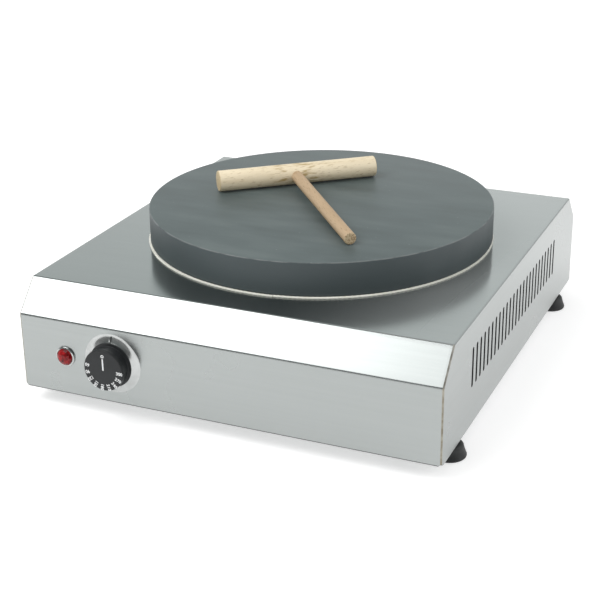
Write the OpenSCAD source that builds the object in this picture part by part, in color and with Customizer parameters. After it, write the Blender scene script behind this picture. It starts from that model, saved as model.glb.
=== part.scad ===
// Electric pancake griddle: a folded stainless hood that carries a round cast plate on a rope seal,
// with a thermostat dial and a pilot lamp in front, and a wooden batter spreader lying on the plate.
// Millimetres. Origin on the table under the middle of the casing, front towards -Y, +Z up.

/* [Casing] */
// Width across the side panels
casing_w = 420; // [400:1:480]
// Depth from the front panel to the rear panel
casing_d = 462; // [450:1:540]
// Height of the folded hood
casing_h = 104.5; // [98:0.5:130]
// Drop of the sloped shoulder at front and rear
shoulder_drop = 28.5; // [20:0.5:34]
// Run of the sloped shoulder
shoulder_run = 26.5; // [16:0.5:34]
// Thickness of the stainless sheet
sheet_t = 1; // [0.8:0.1:1.4]
// Outer radius of the bend between the top and the sides
top_bend_r = 2; // [1.6:0.1:4]
// Outer radius of the fold under the front and rear panels
hem_r = 1.5; // [1.5:0.5:7]
// Width of the return flange under the front and rear panels
hem_w = 18; // [16:1:26]
// Rounding of the lower corners of the front and rear panels
panel_corner_r = 3.5; // [2:0.5:6]

/* [Side vents] */
// Slots in each side panel
vent_count = 25; // [5:1:29]
// Distance from slot to slot
vent_pitch = 12.05; // [8:0.05:14]
// Width of one slot
vent_w = 4.4; // [2:0.1:6]
// Height of one slot
vent_h = 39.5; // [20:0.5:46]
// Distance from the top sheet down to the slots
vent_drop = 26.5; // [20:0.5:34]
// How far the row of slots is set towards the front
vent_shift = 2.8; // [0:0.1:10]

/* [Cooking plate] */
// Diameter of the plate
plate_d = 348; // [340:1:380]
// How far the plate sits behind the middle of the casing
plate_setback = 7; // [0:0.5:10]
// Height of the plate's side
plate_h = 33; // [30:0.2:36]
// Thickness of the plate's cooking floor
plate_floor_t = 12; // [10:0.5:15]
// Width of the rim under the plate
plate_rim_w = 12; // [8:0.5:16]
// Rounding of the plate's outer edges
plate_edge_r = 0.9; // [0.5:0.1:2.5]
// Diameter of the bosses for the studs
boss_d = 22; // [16:1:26]

/* [Rope seal] */
// Diameter of the braided rope
rope_d = 1.2; // [1:0.1:4]
// How far the rope's middle line lies inside the plate's edge
rope_inset = 0.3; // [0.2:0.1:4]
// Slit where the two ends of the rope meet
rope_slit = 0.8; // [0.4:0.1:3]
// Direction of that slit, counted from +X
rope_slit_angle = -82; // [-180:1:180]

/* [Heating] */
// Diameter of the heating tubes
element_d = 8; // [6.5:0.5:9]
// Radius of the outer heating ring
outer_ring_r = 128; // [122:1:132]
// Radius of the inner heating ring
inner_ring_r = 75; // [60:1:80]
// Bend radius where a ring turns down into a leg
element_bend_r = 10; // [8:0.5:14]
// Half of the distance between the two legs of a ring
leg_half_gap = 13; // [11:0.5:18]
// Diameter of the connection pins under the legs
pin_d = 4; // [3:0.5:5]
// Length of the connection pins
pin_l = 12; // [9:0.5:16]
// Thickness of the clamp disc under the rings
clamp_disc_t = 2; // [1.5:0.1:3]
// Diameter of the clamp disc
clamp_disc_d = 284; // [278:1:300]
// Thickness of the wool pad
wool_t = 21.5; // [18:0.5:26]
// Outer diameter of the sheet dish that holds the wool
shield_d = 294; // [286:1:296]
// Height of the dish's wall
shield_h = 16; // [10:0.5:18]
// Sheet thickness of the dish
shield_t = 1; // [0.8:0.1:1.2]
// Diameter of the hole in the top sheet
opening_d = 300; // [298:1:306]

/* [Plate fixing] */
// Diameter of the studs that hold the plate down
stud_d = 8; // [6:0.5:9]
// Width of the hold-down bar
bridge_w = 30; // [24:1:40]
// Thickness of the hold-down bar
bridge_t = 3; // [2:0.5:5]
// Length of the bar's ends under the top sheet
bridge_pad = 13; // [10:1:22]
// Height of the stud nuts
stud_nut_h = 6.5; // [5:0.5:8]
// Thickness of the stud washers
stud_washer_t = 1.6; // [1:0.1:2.5]

/* [Dial and thermostat] */
// Distance of the dial's axis from the left side
dial_inset = 99; // [94:1:110]
// Height of the dial's axis above the casing's lower edge
dial_up = 41.2; // [38:0.2:44]
// Outer radius of the chrome ring
bezel_r = 29.5; // [27:0.5:31]
// Inner radius of the chrome ring
bezel_bore_r = 21.5; // [21:0.5:23]
// Height of the ring at its outer edge
bezel_h = 0.9; // [0.8:0.1:1.4]
// Height of the ring at its inner edge
bezel_inner_h = 3; // [2:0.1:4]
// Thickness of the ring's back plate
bezel_back_t = 1.2; // [0.8:0.1:1.6]
// Radius of the knob's dial face
knob_face_r = 20.4; // [20:0.1:21]
// Thickness of the knob's dial face
knob_face_t = 4; // [2.5:0.1:6]
// Radius of the knob's skirt
knob_skirt_r = 19; // [17:0.1:19.5]
// Radius of the flange at the knob's foot
knob_flange_r = 22; // [21:0.1:24]
// Thickness of the flange at the knob's foot
knob_flange_t = 1; // [0.8:0.1:1.6]
// Distance of the dial face in front of the panel
knob_reach = 17.3; // [16:0.1:24]
// Diameter of the thermostat shaft
shaft_d = 6; // [5:0.5:7]
// Depth of the flat on the shaft
shaft_flat = 1.4; // [0.8:0.1:1.8]
// Radius of the bush that guides the shaft
bush_r = 5; // [4.5:0.1:6]
// Distance between the two thermostat screws
thermostat_pitch = 28; // [26:0.5:30]
// Width of the thermostat's case
thermostat_w = 42; // [40:1:48]
// Height of the thermostat's case
thermostat_h = 38; // [34:1:40]
// Depth of the thermostat's case
thermostat_depth = 36; // [28:1:44]
// Diameter of the thermostat screws
panel_screw_d = 4; // [3:0.5:4]

/* [Temperature sensor] */
// Diameter of the sensor bulb
bulb_d = 6; // [5:0.2:7]
// Length of the sensor bulb
bulb_l = 80; // [60:1:90]
// Diameter of the capillary tube
capillary_d = 2; // [1.4:0.1:2.6]
// Bend radius of the capillary tube
capillary_bend_r = 8; // [6:0.5:12]

/* [Pilot lamp] */
// Distance of the lamp from the left side
pilot_inset = 48.2; // [40:0.2:52]
// Height of the lamp above the casing's lower edge
pilot_up = 39.6; // [34:0.1:46]
// Outer radius of the lamp's chrome ring
pilot_ring_r = 10; // [9:0.1:12]
// Height of the lamp's chrome ring
pilot_ring_h = 2.4; // [1.6:0.1:3.4]
// Radius of the red lens
pilot_lens_r = 8.3; // [7:0.1:8.8]
// How far the lens stands out of the panel
pilot_lens_h = 7.5; // [5:0.1:10]
// Radius of the lamp's holder
pilot_body_r = 6; // [5:0.1:6.6]
// Length of the lamp's holder behind the panel
pilot_body_l = 24; // [18:1:30]

/* [Cable gland] */
// Distance of the gland from the left side
gland_inset = 98; // [88:1:110]
// Height of the gland above the casing's lower edge
gland_up = 32; // [28:1:40]
// Radius of the gland's thread
gland_thread_r = 8; // [7.5:0.1:9]
// Radius of the passage for the cord
gland_bore_r = 4.2; // [3.5:0.1:4.6]
// Thickness of the gland's hexagon
gland_hex_t = 5; // [4:0.5:8]
// Length of the gland's cap
gland_cap_l = 13.3; // [11:0.1:18]

/* [Wiring] */
// Diameter of the leads
lead_d = 2.4; // [1.8:0.1:2.8]
// Bend radius of the leads
lead_bend_r = 6; // [4:0.5:8]
// Pitch of the terminal block's ways
terminal_pitch = 13; // [12:0.5:16]
// Distance of the terminal block from the rear panel
terminal_setback = 60; // [50:1:80]
// Distance of the earth stud beside the block's first way
earth_side = 27; // [22:1:40]
// Distance of the earth stud in front of the block
earth_fore = 44; // [36:1:60]

/* [Feet and base] */
// Height of the rubber feet up to the base sheet
foot_h = 17; // [14:0.5:24]
// Diameter of a foot on the table
foot_base_d = 32.5; // [31:0.5:36]
// Diameter of a foot at its rounded shoulder
foot_shoulder_d = 26.5; // [24:0.5:28]
// Radius of the foot's shoulder
foot_round_r = 3.5; // [2:0.5:4]
// Diameter of the neck that the base sheet rests on
foot_neck_d = 14; // [13:0.5:15]
// Height of the foot's lip
foot_lip_h = 3.2; // [2:0.1:4]
// Distance of the feet from the side panels
foot_inset_x = 9.8; // [8.6:0.1:24]
// Distance of the front feet from the front panel
foot_inset_front = 52; // [40:0.5:70]
// Distance of the rear feet from the rear panel
foot_inset_rear = 48.5; // [40:0.5:70]
// Diameter of the foot screws
foot_screw_d = 5; // [4:0.5:6]
// Thickness of the base sheet
base_t = 1; // [0.8:0.1:1.4]
// Height of the base sheet's turned-up sides
base_lip_h = 14; // [8:1:20]
// Distance between the base screws
base_screw_pitch = 150; // [100:1:180]

/* [Spreader] */
// Diameter of the wooden bar
bar_d = 21.5; // [18:0.5:26]
// Length of the wooden bar
bar_l = 169.5; // [140:0.5:190]
// Diameter of the wooden handle
handle_d = 12; // [9:0.5:14]
// Distance from the bar's axis to the handle's tip
handle_reach = 190.5; // [150:0.5:200]
// Place of the handle along the bar, counted from the bar's middle
handle_side = -2.7; // [-20:0.1:20]
// Depth of the handle's socket in the bar
socket_depth = 15; // [10:0.5:18]
// Direction of the bar on the plate, counted from +X
bar_angle = 39.4; // [0:0.1:90]
// Place of the bar's middle from side to side
bar_x = -44; // [-60:1:20]
// Place of the bar's middle from front to rear
bar_y = 47; // [0:0.5:60]

/* [Clearances] */
// Radial clearance of a screw or stud in a thread or snug hole
thread_gap = 0.05; // [0.02:0.01:0.1]
// Radial clearance of a screw or stud in a drilled hole
hole_gap = 0.3; // [0.2:0.05:0.6]
// Clearance under a round piece that lies on a flat one
seat_gap = 0.15; // [0.1:0.05:0.3]
// Clearance between the spreader and the plate
rest_gap = 0.3; // [0.2:0.05:0.6]
// Clearance between sheets that slide into each other
sheet_gap = 0.3; // [0.2:0.05:0.6]

/* [Hidden] */
$fn = 64;

// Colours of the materials
steel = "lightgray";
chrome = "gainsboro";
iron = "slategray";
black_rubber = "#1c1c1e";
black_plastic = "#222224";
zinc = "silver";

// Overshoot of cutting tools past the faces they cut
over = 1;

// Sides and steps of swept tubes, and the direction their rings are turned by, which no tube follows
tube_sides = 8;
element_sides = 12;
bend_steps = 4;
ring_steps = 60;
tube_twist_ref = [1, 1, 1];

// Levels of the casing, the table is at zero
base_z = foot_h;
casing_z = base_z - sheet_t;
top_z = casing_z + casing_h;
fold_z = top_z - shoulder_drop;
front_y = -casing_d / 2;
rear_y = casing_d / 2;
shoulder_l = norm([shoulder_run, shoulder_drop]);

// Levels of the plate and of what is stacked under it
plate_z = top_z + rope_d + 2 * seat_gap;
plate_top_z = plate_z + plate_h;
ceiling_z = plate_top_z - plate_floor_t;
element_z = ceiling_z - seat_gap - element_d / 2;
disc_top_z = element_z - element_d / 2 - seat_gap;
wool_top_z = disc_top_z - clamp_disc_t;
shield_top_z = wool_top_z - wool_t;
bridge_top_z = shield_top_z - shield_t;
bridge_pad_z = top_z - sheet_t;
bridge_side_gap = 2;
bridge_ramp = 8;
washer_z = bridge_top_z - bridge_t - stud_washer_t;
stud_nut_z = washer_z - stud_nut_h;

// Opening of the top sheet and hollow of the plate, in which the wool dish stands free
dish_clear = 1;
opening_r = max(opening_d / 2, shield_d / 2 + dish_clear);
hollow_r = max(plate_d / 2 - plate_rim_w, shield_d / 2 + dish_clear);

// Studs midway between the rings: blind hole in the cooking floor, tail under the nuts
stud_reach = (inner_ring_r + outer_ring_r) / 2;
stud_floor_web = 5;
stud_tail = 5;
stud_tip_gap = 0.5;
stud_top_z = plate_top_z - stud_floor_web - stud_tip_gap;
stud_bottom_z = stud_nut_z - stud_tail;

// Heating rings: the angle of the gap between the legs, and the level of the legs' ends
function gap_angle(ring_r) = asin((leg_half_gap + element_bend_r) / ring_r);
function leg_place(ring_r, side) = [
    side * (ring_r * sin(gap_angle(ring_r)) - element_bend_r * cos(gap_angle(ring_r))),
    plate_setback + ring_r * cos(gap_angle(ring_r)) + element_bend_r * sin(gap_angle(ring_r))
];
leg_clear = 12;
leg_end_z = bridge_top_z - leg_clear;
pin_end_z = leg_end_z - pin_l;
leg_hole_gap = 1;
link_t = 1;
link_w = 6;
link_eye_wall = 2.5;
link_eye_r = pin_d / 2 + link_eye_wall;
link_z = leg_end_z - pin_l / 2;

// Sensor bulb and capillary tube, which drops between the two rings just inside the outer one
ring_clear = 6;
bulb_stem = 6;
capillary_drop_x = -bulb_l / 2 - bulb_stem - capillary_bend_r;
capillary_drop_r = outer_ring_r - element_d / 2 - ring_clear;
bulb_z = ceiling_z - seat_gap - bulb_d / 2;
bulb_y = plate_setback - sqrt(capillary_drop_r * capillary_drop_r - capillary_drop_x * capillary_drop_x);
capillary_hole_gap = 1;
saddle_l = 18;
saddle_wall = 0.8;
saddle_gap = 0.2;

// Front panel fittings, placed from the left side
dial_x = dial_inset - casing_w / 2;
pilot_x = pilot_inset - casing_w / 2;
dial_z = casing_z + dial_up;
pilot_z = casing_z + pilot_up;
panel_back = -sheet_t;
bezel_edge_r = min(0.4, bezel_h / 2);
knob_back_gap = 0.3;
knob_web = 3.3;
knob_edge_r = 0.7;
shaft_sink = 9;
shaft_end_gap = 0.4;
thermostat_plate_t = 1.5;
thermostat_plate_margin = 3;
thermostat_plate_w = thermostat_w + 2 * thermostat_plate_margin;
thermostat_back = panel_back - thermostat_plate_t - thermostat_depth;
screw_head_r = panel_screw_d;
screw_head_h = panel_screw_d * 0.35;
knob_back = max(bezel_inner_h, bezel_back_t + screw_head_h) + knob_back_gap;
bush_end_gap = 0.5;
bush_l = knob_back - bush_end_gap;
screw_grip = 5;
tab_w = 6.3;
tab_t = 0.8;
tab_l = 8;
tab_y = front_y - thermostat_back + tab_l;
live_tab_side = 8;
switched_tab_side = 10;
lamp_tab_side = 14;
main_tab_drop = 8;
lamp_tab_rise = 6;
live_tab = [dial_x - live_tab_side, tab_y, dial_z - main_tab_drop];
switched_tab = [dial_x + switched_tab_side, tab_y, dial_z - main_tab_drop];
lamp_tab = [dial_x - lamp_tab_side, tab_y, dial_z + lamp_tab_rise];
capillary_port_up = 13;
capillary_port_side = 8;
capillary_port_x = dial_x + capillary_port_side;

// Pilot lamp
pilot_pin_half = 3.5;
pilot_pin_d = 2;
pilot_pin_l = 5;
pilot_nut_h = 4;
pilot_nut_wall = 4;
pilot_nut_r = pilot_body_r + pilot_nut_wall;
pilot_lens_rim = 2.6;
pilot_lens_tip_r = pilot_lens_r * 0.45;
pilot_lens_fit = 0.2;
pilot_pin_y = front_y - panel_back + pilot_body_l + pilot_pin_l;

// Cable gland
gland_x = gland_inset - casing_w / 2;
gland_z = casing_z + gland_up;
gland_hex_wall = 4.7;
gland_cap_wall = 3.7;
gland_nose_wall = 1.6;
gland_mouth_wall = 1.6;
gland_hex_r = gland_thread_r + gland_hex_wall;
gland_cap_r = gland_thread_r + gland_cap_wall;
gland_wall = 2.6;
gland_lip_t = 2.5;
gland_collar_t = 2;
gland_cap_gap = 0.2;
gland_tail = 10;
gland_nut_h = 5;
gland_end = gland_hex_t + gland_cap_gap + gland_cap_l;
gland_thread_end = gland_end - gland_lip_t - gland_collar_t;
gland_sleeve_r = gland_thread_r - gland_wall;
gland_seal_start = 2;

// Terminal block, earth stud and levels of the leads
pan_top_z = base_z + base_t;
block_h = 18;
block_depth = 20;
block_end = 9;
block_w = 2 * terminal_pitch + 2 * block_end;
block_y = rear_y - terminal_setback;
block_front_y = block_y - block_depth / 2;
block_screw_d = 3;
block_screw_sink = 4;
way_rise = 11;
low_way_rise = 4;
way_z = pan_top_z + way_rise;
low_way_z = pan_top_z + low_way_rise;
function way_x(i) = gland_x + (i - 1) * terminal_pitch;
earth_x = way_x(0) - earth_side;
earth_y = block_front_y - earth_fore;
earth_d = 5;
earth_tail = 3;
earth_nut_h = 4;
earth_eye_t = 1;
earth_eye_r = 5;
lead_run = 30;
lead_drop = 25;
loop_run = 20;

// Base sheet, feet and their screws
pan_w = casing_w - 2 * sheet_t - 2 * sheet_gap;
pan_d = casing_d - 2 * hem_r - 2 * sheet_gap;
base_screw_y = casing_d / 2 - (hem_r + hem_w) / 2;
base_screw_d = 3.6;
base_screw_head_h = 2;
base_screw_l = 8;
foot_x = casing_w / 2 - foot_inset_x;
front_foot_y = front_y + foot_inset_front;
rear_foot_y = rear_y - foot_inset_rear;
foot_bore_wall = 3.2;
foot_edge = 1;
foot_shoulder_gap = 2.8;
foot_shoulder_z = casing_z - foot_shoulder_gap - foot_round_r;
foot_bore_r = foot_screw_d / 2 + foot_bore_wall;
foot_bore_h = 7;
foot_head_r = foot_screw_d * 0.95;
foot_head_h = foot_screw_d * 0.6;
foot_washer_t = 1;
foot_nut_h = foot_screw_d * 0.8;
foot_tail = 2;

// Spreader on the plate
bar_z = plate_top_z + rest_gap + bar_d / 2;
tip_z = plate_top_z + rest_gap + handle_d / 2;
handle_dip = asin((bar_z - tip_z) / handle_reach);
socket_floor_gap = 0.2;
bar_edge = 1.2;
handle_edge = 1;

// Places a piece drawn along +Z so that it points out of the front panel
module on_front(x, z) {
    translate([x, front_y, z]) rotate([90, 0, 0]) children();
}

// Places a piece drawn along +Z so that it points out of the rear panel
module on_rear(x, z) {
    translate([x, rear_y, z]) rotate([-90, 0, 0]) children();
}

// Places a piece at each of the four feet
module at_feet() {
    for (sx = [-1, 1], y = [front_foot_y, rear_foot_y]) translate([sx * foot_x, y, 0]) children();
}

// Places a piece at each of the base screws
module at_base_screws() {
    for (i = [-1, 0, 1], sy = [-1, 1]) translate([i * base_screw_pitch, sy * base_screw_y, 0]) children();
}

// Places a piece at both plate studs
module at_studs() {
    for (s = [-1, 1]) translate([s * stud_reach, plate_setback, 0]) children();
}

// Places a piece at the legs of one heating ring
module at_legs(ring_r) {
    for (s = [-1, 1]) translate(leg_place(ring_r, s)) children();
}

// Round washer or spacer
module washer(outer_r, hole_r, h) {
    difference() {
        cylinder(r = outer_r, h = h);
        translate([0, 0, -over]) cylinder(r = hole_r, h = h + 2 * over);
    }
}

// Hexagon nut with a plain bore in place of its thread
module hex_nut(corner_r, thread_r, h) {
    difference() {
        cylinder(r = corner_r, h = h, $fn = 6);
        translate([0, 0, -over]) cylinder(r = thread_r + thread_gap, h = h + 2 * over);
    }
}

// Unit vector, and the angle that a path turns by between two of them
function unit(v) = v / norm(v);
function turn_angle(u, v) = acos(min(1, max(-1, u * v)));

// Points of a path whose corners are rounded to one bend radius
function rounded(p, bend_r) = concat(
    [p[0]],
    [
        for (i = [1 : len(p) - 2])
            each bend_points(p[i], unit(p[i] - p[i - 1]), unit(p[i + 1] - p[i]), bend_r)
    ],
    [p[len(p) - 1]]
);
function bend_points(corner, u, v, bend_r) =
    let (
        angle = turn_angle(u, v),
        inward = unit(v - u * (u * v)),
        centre = corner - u * bend_r * tan(angle / 2) + inward * bend_r
    )
    [
        for (k = [0 : bend_steps])
            let (a = angle * k / bend_steps) centre + bend_r * (u * sin(a) - inward * cos(a))
    ];

// Tube of one diameter swept along points, with rings square to the path
function heading(p, i) =
    i == 0 ? unit(p[1] - p[0])
    : i == len(p) - 1 ? unit(p[i] - p[i - 1])
    : unit(unit(p[i + 1] - p[i]) + unit(p[i] - p[i - 1]));

module swept_tube(p, d, sides = tube_sides) {
    points = [
        for (i = [0 : len(p) - 1])
            let (t = heading(p, i), a = unit(cross(t, tube_twist_ref)), b = cross(t, a))
            for (k = [0 : sides - 1]) p[i] + d / 2 * (cos(360 * k / sides) * a + sin(360 * k / sides) * b)
    ];
    walls = [
        for (i = [0 : len(p) - 2], k = [0 : sides - 1])
            let (q = i * sides, n = (k + 1) % sides)
            each [[q + k, q + sides + k, q + n], [q + n, q + sides + k, q + sides + n]]
    ];
    first = [for (k = [0 : sides - 1]) k];
    last = [for (k = [1 : sides]) len(p) * sides - k];
    polyhedron(points, concat(walls, [first, last]));
}

// Side view of the hood, drawn inwards by one inset: panels, shoulders, top and the rounded lower folds
module hood_side(inset) {
    y = casing_d / 2 - inset;
    z0 = casing_z + inset;
    z_fold = fold_z - inset * (shoulder_l - shoulder_drop) / shoulder_run;
    y_top = casing_d / 2 - shoulder_run - inset * (shoulder_l - shoulder_run) / shoulder_drop;
    fold_r = hem_r - inset;
    polygon([
        [-y, z0 + fold_r], [-y + fold_r, z0], [y - fold_r, z0], [y, z0 + fold_r],
        [y, z_fold], [y_top, top_z - inset], [-y_top, top_z - inset], [-y, z_fold]
    ]);
    for (s = [-1, 1]) translate([s * (y - fold_r), z0 + fold_r]) circle(r = fold_r);
}

// Front view of the hood: straight sides with a soft bend into the top
module hood_front(inset) {
    x = casing_w / 2 - inset;
    z = top_z - inset;
    bend_r = top_bend_r - inset;
    translate([-x, 0]) square([2 * x, z - bend_r]);
    translate([bend_r - x, 0]) square([2 * (x - bend_r), z]);
    for (s = [-1, 1]) translate([s * (x - bend_r), z - bend_r]) circle(r = bend_r);
}

module hood_form(inset) {
    intersection() {
        rotate([90, 0, 90]) linear_extrude(height = casing_w - 2 * inset, center = true) hood_side(inset);
        rotate([90, 0, 0]) linear_extrude(height = casing_d + 2 * over, center = true) hood_front(inset);
    }
}

// Upright slot with round ends
module slot_cut(w, h, depth) {
    translate([0, 0, w / 2 - h / 2]) rotate([0, 90, 0]) cylinder(d = w, h = depth, center = true);
    translate([0, 0, h / 2 - w / 2]) rotate([0, 90, 0]) cylinder(d = w, h = depth, center = true);
    cube([depth, w, h - w], center = true);
}

module side_vents() {
    vent_z = top_z - vent_drop - vent_h / 2;
    for (side = [-1, 1], i = [0 : vent_count - 1])
        translate([side * casing_w / 2, (i - (vent_count - 1) / 2) * vent_pitch - vent_shift, vent_z])
            slot_cut(vent_w, vent_h, 4 * sheet_t + 2 * over);
}

// Holes that the front panel shares with the dial's bezel
module thermostat_screw_holes(r, z0, h) {
    for (s = [-1, 1]) translate([s * thermostat_pitch / 2, 0, z0]) cylinder(r = r, h = h);
}

module casing() color(steel) difference() {
    hood_form(0);
    hood_form(sheet_t);
    translate([-casing_w / 2 + sheet_t, front_y + hem_w, casing_z - over])
        cube([casing_w - 2 * sheet_t, casing_d - 2 * hem_w, hem_r + over]);
    translate([0, plate_setback, top_z - sheet_t - over]) cylinder(r = opening_r, h = sheet_t + 2 * over);
    side_vents();
    on_front(dial_x, dial_z) {
        translate([0, 0, panel_back - over]) cylinder(r = bush_r + hole_gap, h = sheet_t + 2 * over);
        thermostat_screw_holes(panel_screw_d / 2 + hole_gap, panel_back - over, sheet_t + 2 * over);
    }
    on_front(pilot_x, pilot_z)
        translate([0, 0, panel_back - over]) cylinder(r = pilot_body_r + hole_gap, h = sheet_t + 2 * over);
    on_rear(gland_x, gland_z) translate([0, 0, panel_back - over])
        cylinder(r = gland_thread_r + hole_gap, h = sheet_t + 2 * over);
    at_base_screws() translate([0, 0, casing_z - over])
        cylinder(d = base_screw_d + 2 * hole_gap, h = sheet_t + 2 * over);
    for (sx = [0, 1], sy = [0, 1]) mirror([sx, 0, 0]) mirror([0, sy, 0]) corner_cut();
}

// What the rounding takes off one lower corner of the front panel
module corner_cut() {
    translate([-casing_w / 2, front_y - over, casing_z]) difference() {
        translate([-over, 0, -over])
            cube([panel_corner_r + over, panel_corner_r + over, panel_corner_r + over]);
        translate([panel_corner_r, -over, panel_corner_r]) rotate([-90, 0, 0])
            cylinder(r = panel_corner_r, h = panel_corner_r + 3 * over);
    }
}

module base_pan() color(zinc) difference() {
    translate([-pan_w / 2, -pan_d / 2, base_z]) cube([pan_w, pan_d, base_lip_h]);
    translate([-pan_w / 2 + base_t, -pan_d / 2 - over, pan_top_z])
        cube([pan_w - 2 * base_t, pan_d + 2 * over, base_lip_h]);
    at_feet() translate([0, 0, base_z - over])
        cylinder(d = foot_screw_d + 2 * hole_gap, h = base_t + 2 * over);
    at_base_screws() translate([0, 0, base_z - over])
        cylinder(d = base_screw_d + 2 * thread_gap, h = base_t + 2 * over);
    for (s = [-1, 1]) translate([gland_x + s * terminal_pitch / 2, block_y, base_z - over])
        cylinder(d = block_screw_d + 2 * thread_gap, h = base_t + 2 * over);
    translate([earth_x, earth_y, base_z - over])
        cylinder(d = earth_d + 2 * thread_gap, h = base_t + 2 * over);
}

module base_screws() color(zinc) at_base_screws() {
    translate([0, 0, casing_z - base_screw_head_h]) cylinder(d = 2 * base_screw_d, h = base_screw_head_h);
    translate([0, 0, casing_z]) cylinder(d = base_screw_d, h = base_screw_l);
}

// Bell-shaped rubber foot: lip on the table, rounded shoulder under the casing's edge, neck against the base
// sheet and a counterbore for its screw
module foot_section() {
    hole_r = foot_screw_d / 2 + hole_gap;
    base_r = foot_base_d / 2;
    shoulder_r = foot_shoulder_d / 2;
    difference() {
        union() {
            polygon([
                [0, 0], [base_r - foot_edge, 0], [base_r, foot_edge], [base_r - foot_edge, foot_lip_h],
                [shoulder_r, foot_shoulder_z], [0, foot_shoulder_z]
            ]);
            translate([shoulder_r - foot_round_r, foot_shoulder_z]) circle(r = foot_round_r);
            square([shoulder_r - foot_round_r, foot_shoulder_z + foot_round_r]);
            square([foot_neck_d / 2, foot_h]);
        }
        translate([0, -over]) square([hole_r, foot_h + 2 * over]);
        translate([0, -over]) square([foot_bore_r, foot_bore_h + over]);
    }
}

module bell_foot(sx, y) color(black_rubber) translate([sx * foot_x, y, 0])
    rotate_extrude() foot_section();

module front_left_foot() bell_foot(-1, front_foot_y);
module front_right_foot() bell_foot(1, front_foot_y);
module rear_left_foot() bell_foot(-1, rear_foot_y);
module rear_right_foot() bell_foot(1, rear_foot_y);

module foot_screws() color(zinc) at_feet() {
    translate([0, 0, foot_bore_h - foot_head_h]) cylinder(r = foot_head_r, h = foot_head_h);
    translate([0, 0, foot_bore_h])
        cylinder(d = foot_screw_d, h = pan_top_z + foot_washer_t + foot_nut_h + foot_tail - foot_bore_h);
}

module foot_washers() color(zinc) at_feet() translate([0, 0, pan_top_z])
    washer(foot_screw_d, foot_screw_d / 2 + hole_gap, foot_washer_t);

module foot_nuts() color(zinc) at_feet() translate([0, 0, pan_top_z + foot_washer_t])
    hex_nut(foot_screw_d * 0.92, foot_screw_d / 2, foot_nut_h);

// Cast plate: thick floor, deep rim with rounded edges, hollow underside with two stud bosses
module cooking_plate() color(iron) difference() {
    union() {
        translate([0, plate_setback, 0]) rotate_extrude() difference() {
            translate([0, plate_z]) plate_section();
            translate([0, plate_z - over]) square([hollow_r, ceiling_z - plate_z + over]);
        }
        at_studs() translate([0, 0, disc_top_z]) cylinder(d = boss_d, h = ceiling_z - disc_top_z + over);
    }
    at_studs() translate([0, 0, disc_top_z - over])
        cylinder(d = stud_d + 2 * thread_gap, h = plate_top_z - stud_floor_web - disc_top_z + over);
}

module plate_section() {
    r = plate_d / 2;
    square([r - plate_edge_r, plate_h]);
    translate([0, plate_edge_r]) square([r, plate_h - 2 * plate_edge_r]);
    for (z = [plate_edge_r, plate_h - plate_edge_r])
        translate([r - plate_edge_r, z]) circle(r = plate_edge_r);
}

module rope_seal() color("ivory") {
    ring_r = plate_d / 2 - rope_inset;
    slit_angle = 2 * asin(rope_slit / 2 / ring_r);
    translate([0, plate_setback, top_z + seat_gap + rope_d / 2])
        rotate([0, 0, rope_slit_angle + slit_angle / 2])
            rotate_extrude(angle = 360 - slit_angle) translate([ring_r, 0]) circle(d = rope_d);
}

// Heating ring, open at the rear, whose ends bend down into two legs with connection pins
function leg_bend(ring_r, side, k) =
    let (
        a = 90 * k / bend_steps,
        gap = gap_angle(ring_r),
        reach = element_bend_r * sin(a)
    )
    [
        side * (ring_r * sin(gap) - reach * cos(gap)),
        plate_setback + ring_r * cos(gap) + reach * sin(gap),
        element_z - element_bend_r * (1 - cos(a))
    ];
function ring_points(ring_r) =
    let (gap = gap_angle(ring_r))
    [
        for (k = [1 : ring_steps - 1]) let (a = 90 + gap + (360 - 2 * gap) * k / ring_steps)
            [ring_r * cos(a), plate_setback + ring_r * sin(a), element_z]
    ];

module heating_ring(ring_r) {
    swept_tube(concat(
        [concat(leg_place(ring_r, -1), [leg_end_z])],
        [for (k = [bend_steps : -1 : 0]) leg_bend(ring_r, -1, k)],
        ring_points(ring_r),
        [for (k = [0 : bend_steps]) leg_bend(ring_r, 1, k)],
        [concat(leg_place(ring_r, 1), [leg_end_z])]
    ), element_d, element_sides);
    at_legs(ring_r) translate([0, 0, pin_end_z]) cylinder(d = pin_d, h = pin_l);
}

module outer_element() color("dimgray") heating_ring(outer_ring_r);
module inner_element() color("dimgray") heating_ring(inner_ring_r);

// Flat straps that join the pins of both rings
module element_links() color("goldenrod") for (s = [-1, 1]) {
    inner = leg_place(inner_ring_r, s);
    outer = leg_place(outer_ring_r, s);
    reach = outer - inner;
    translate([inner[0], inner[1], link_z]) rotate([0, 0, atan2(reach[1], reach[0])]) difference() {
        union() {
            for (x = [0, norm(reach)]) translate([x, 0, 0]) cylinder(r = link_eye_r, h = link_t);
            translate([0, -link_w / 2, 0]) cube([norm(reach), link_w, link_t]);
        }
        for (x = [0, norm(reach)]) translate([x, 0, -over])
            cylinder(d = pin_d + 2 * thread_gap, h = link_t + 2 * over);
    }
}

// Holes for the studs, the legs and the capillary tube through what is stacked under the plate,
// with slots where the legs still bend
module stack_holes(z, h, bend_l) {
    translate([0, 0, z - over]) {
        at_studs() cylinder(d = stud_d + 2 * hole_gap, h = h + 2 * over);
        for (ring_r = [inner_ring_r, outer_ring_r], side = [-1, 1]) translate(leg_place(ring_r, side))
            mirror([(1 - side) / 2, 0, 0]) rotate([0, 0, -gap_angle(ring_r)])
                leg_slot(bend_l, h + 2 * over);
        translate([capillary_drop_x, bulb_y, 0])
            cylinder(d = capillary_d + 2 * capillary_hole_gap, h = h + 2 * over);
    }
}

module leg_slot(bend_l, h) {
    w = element_d + 2 * leg_hole_gap;
    cylinder(d = w, h = h);
    translate([0, -w / 2, 0]) cube([bend_l, w, h]);
}

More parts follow.
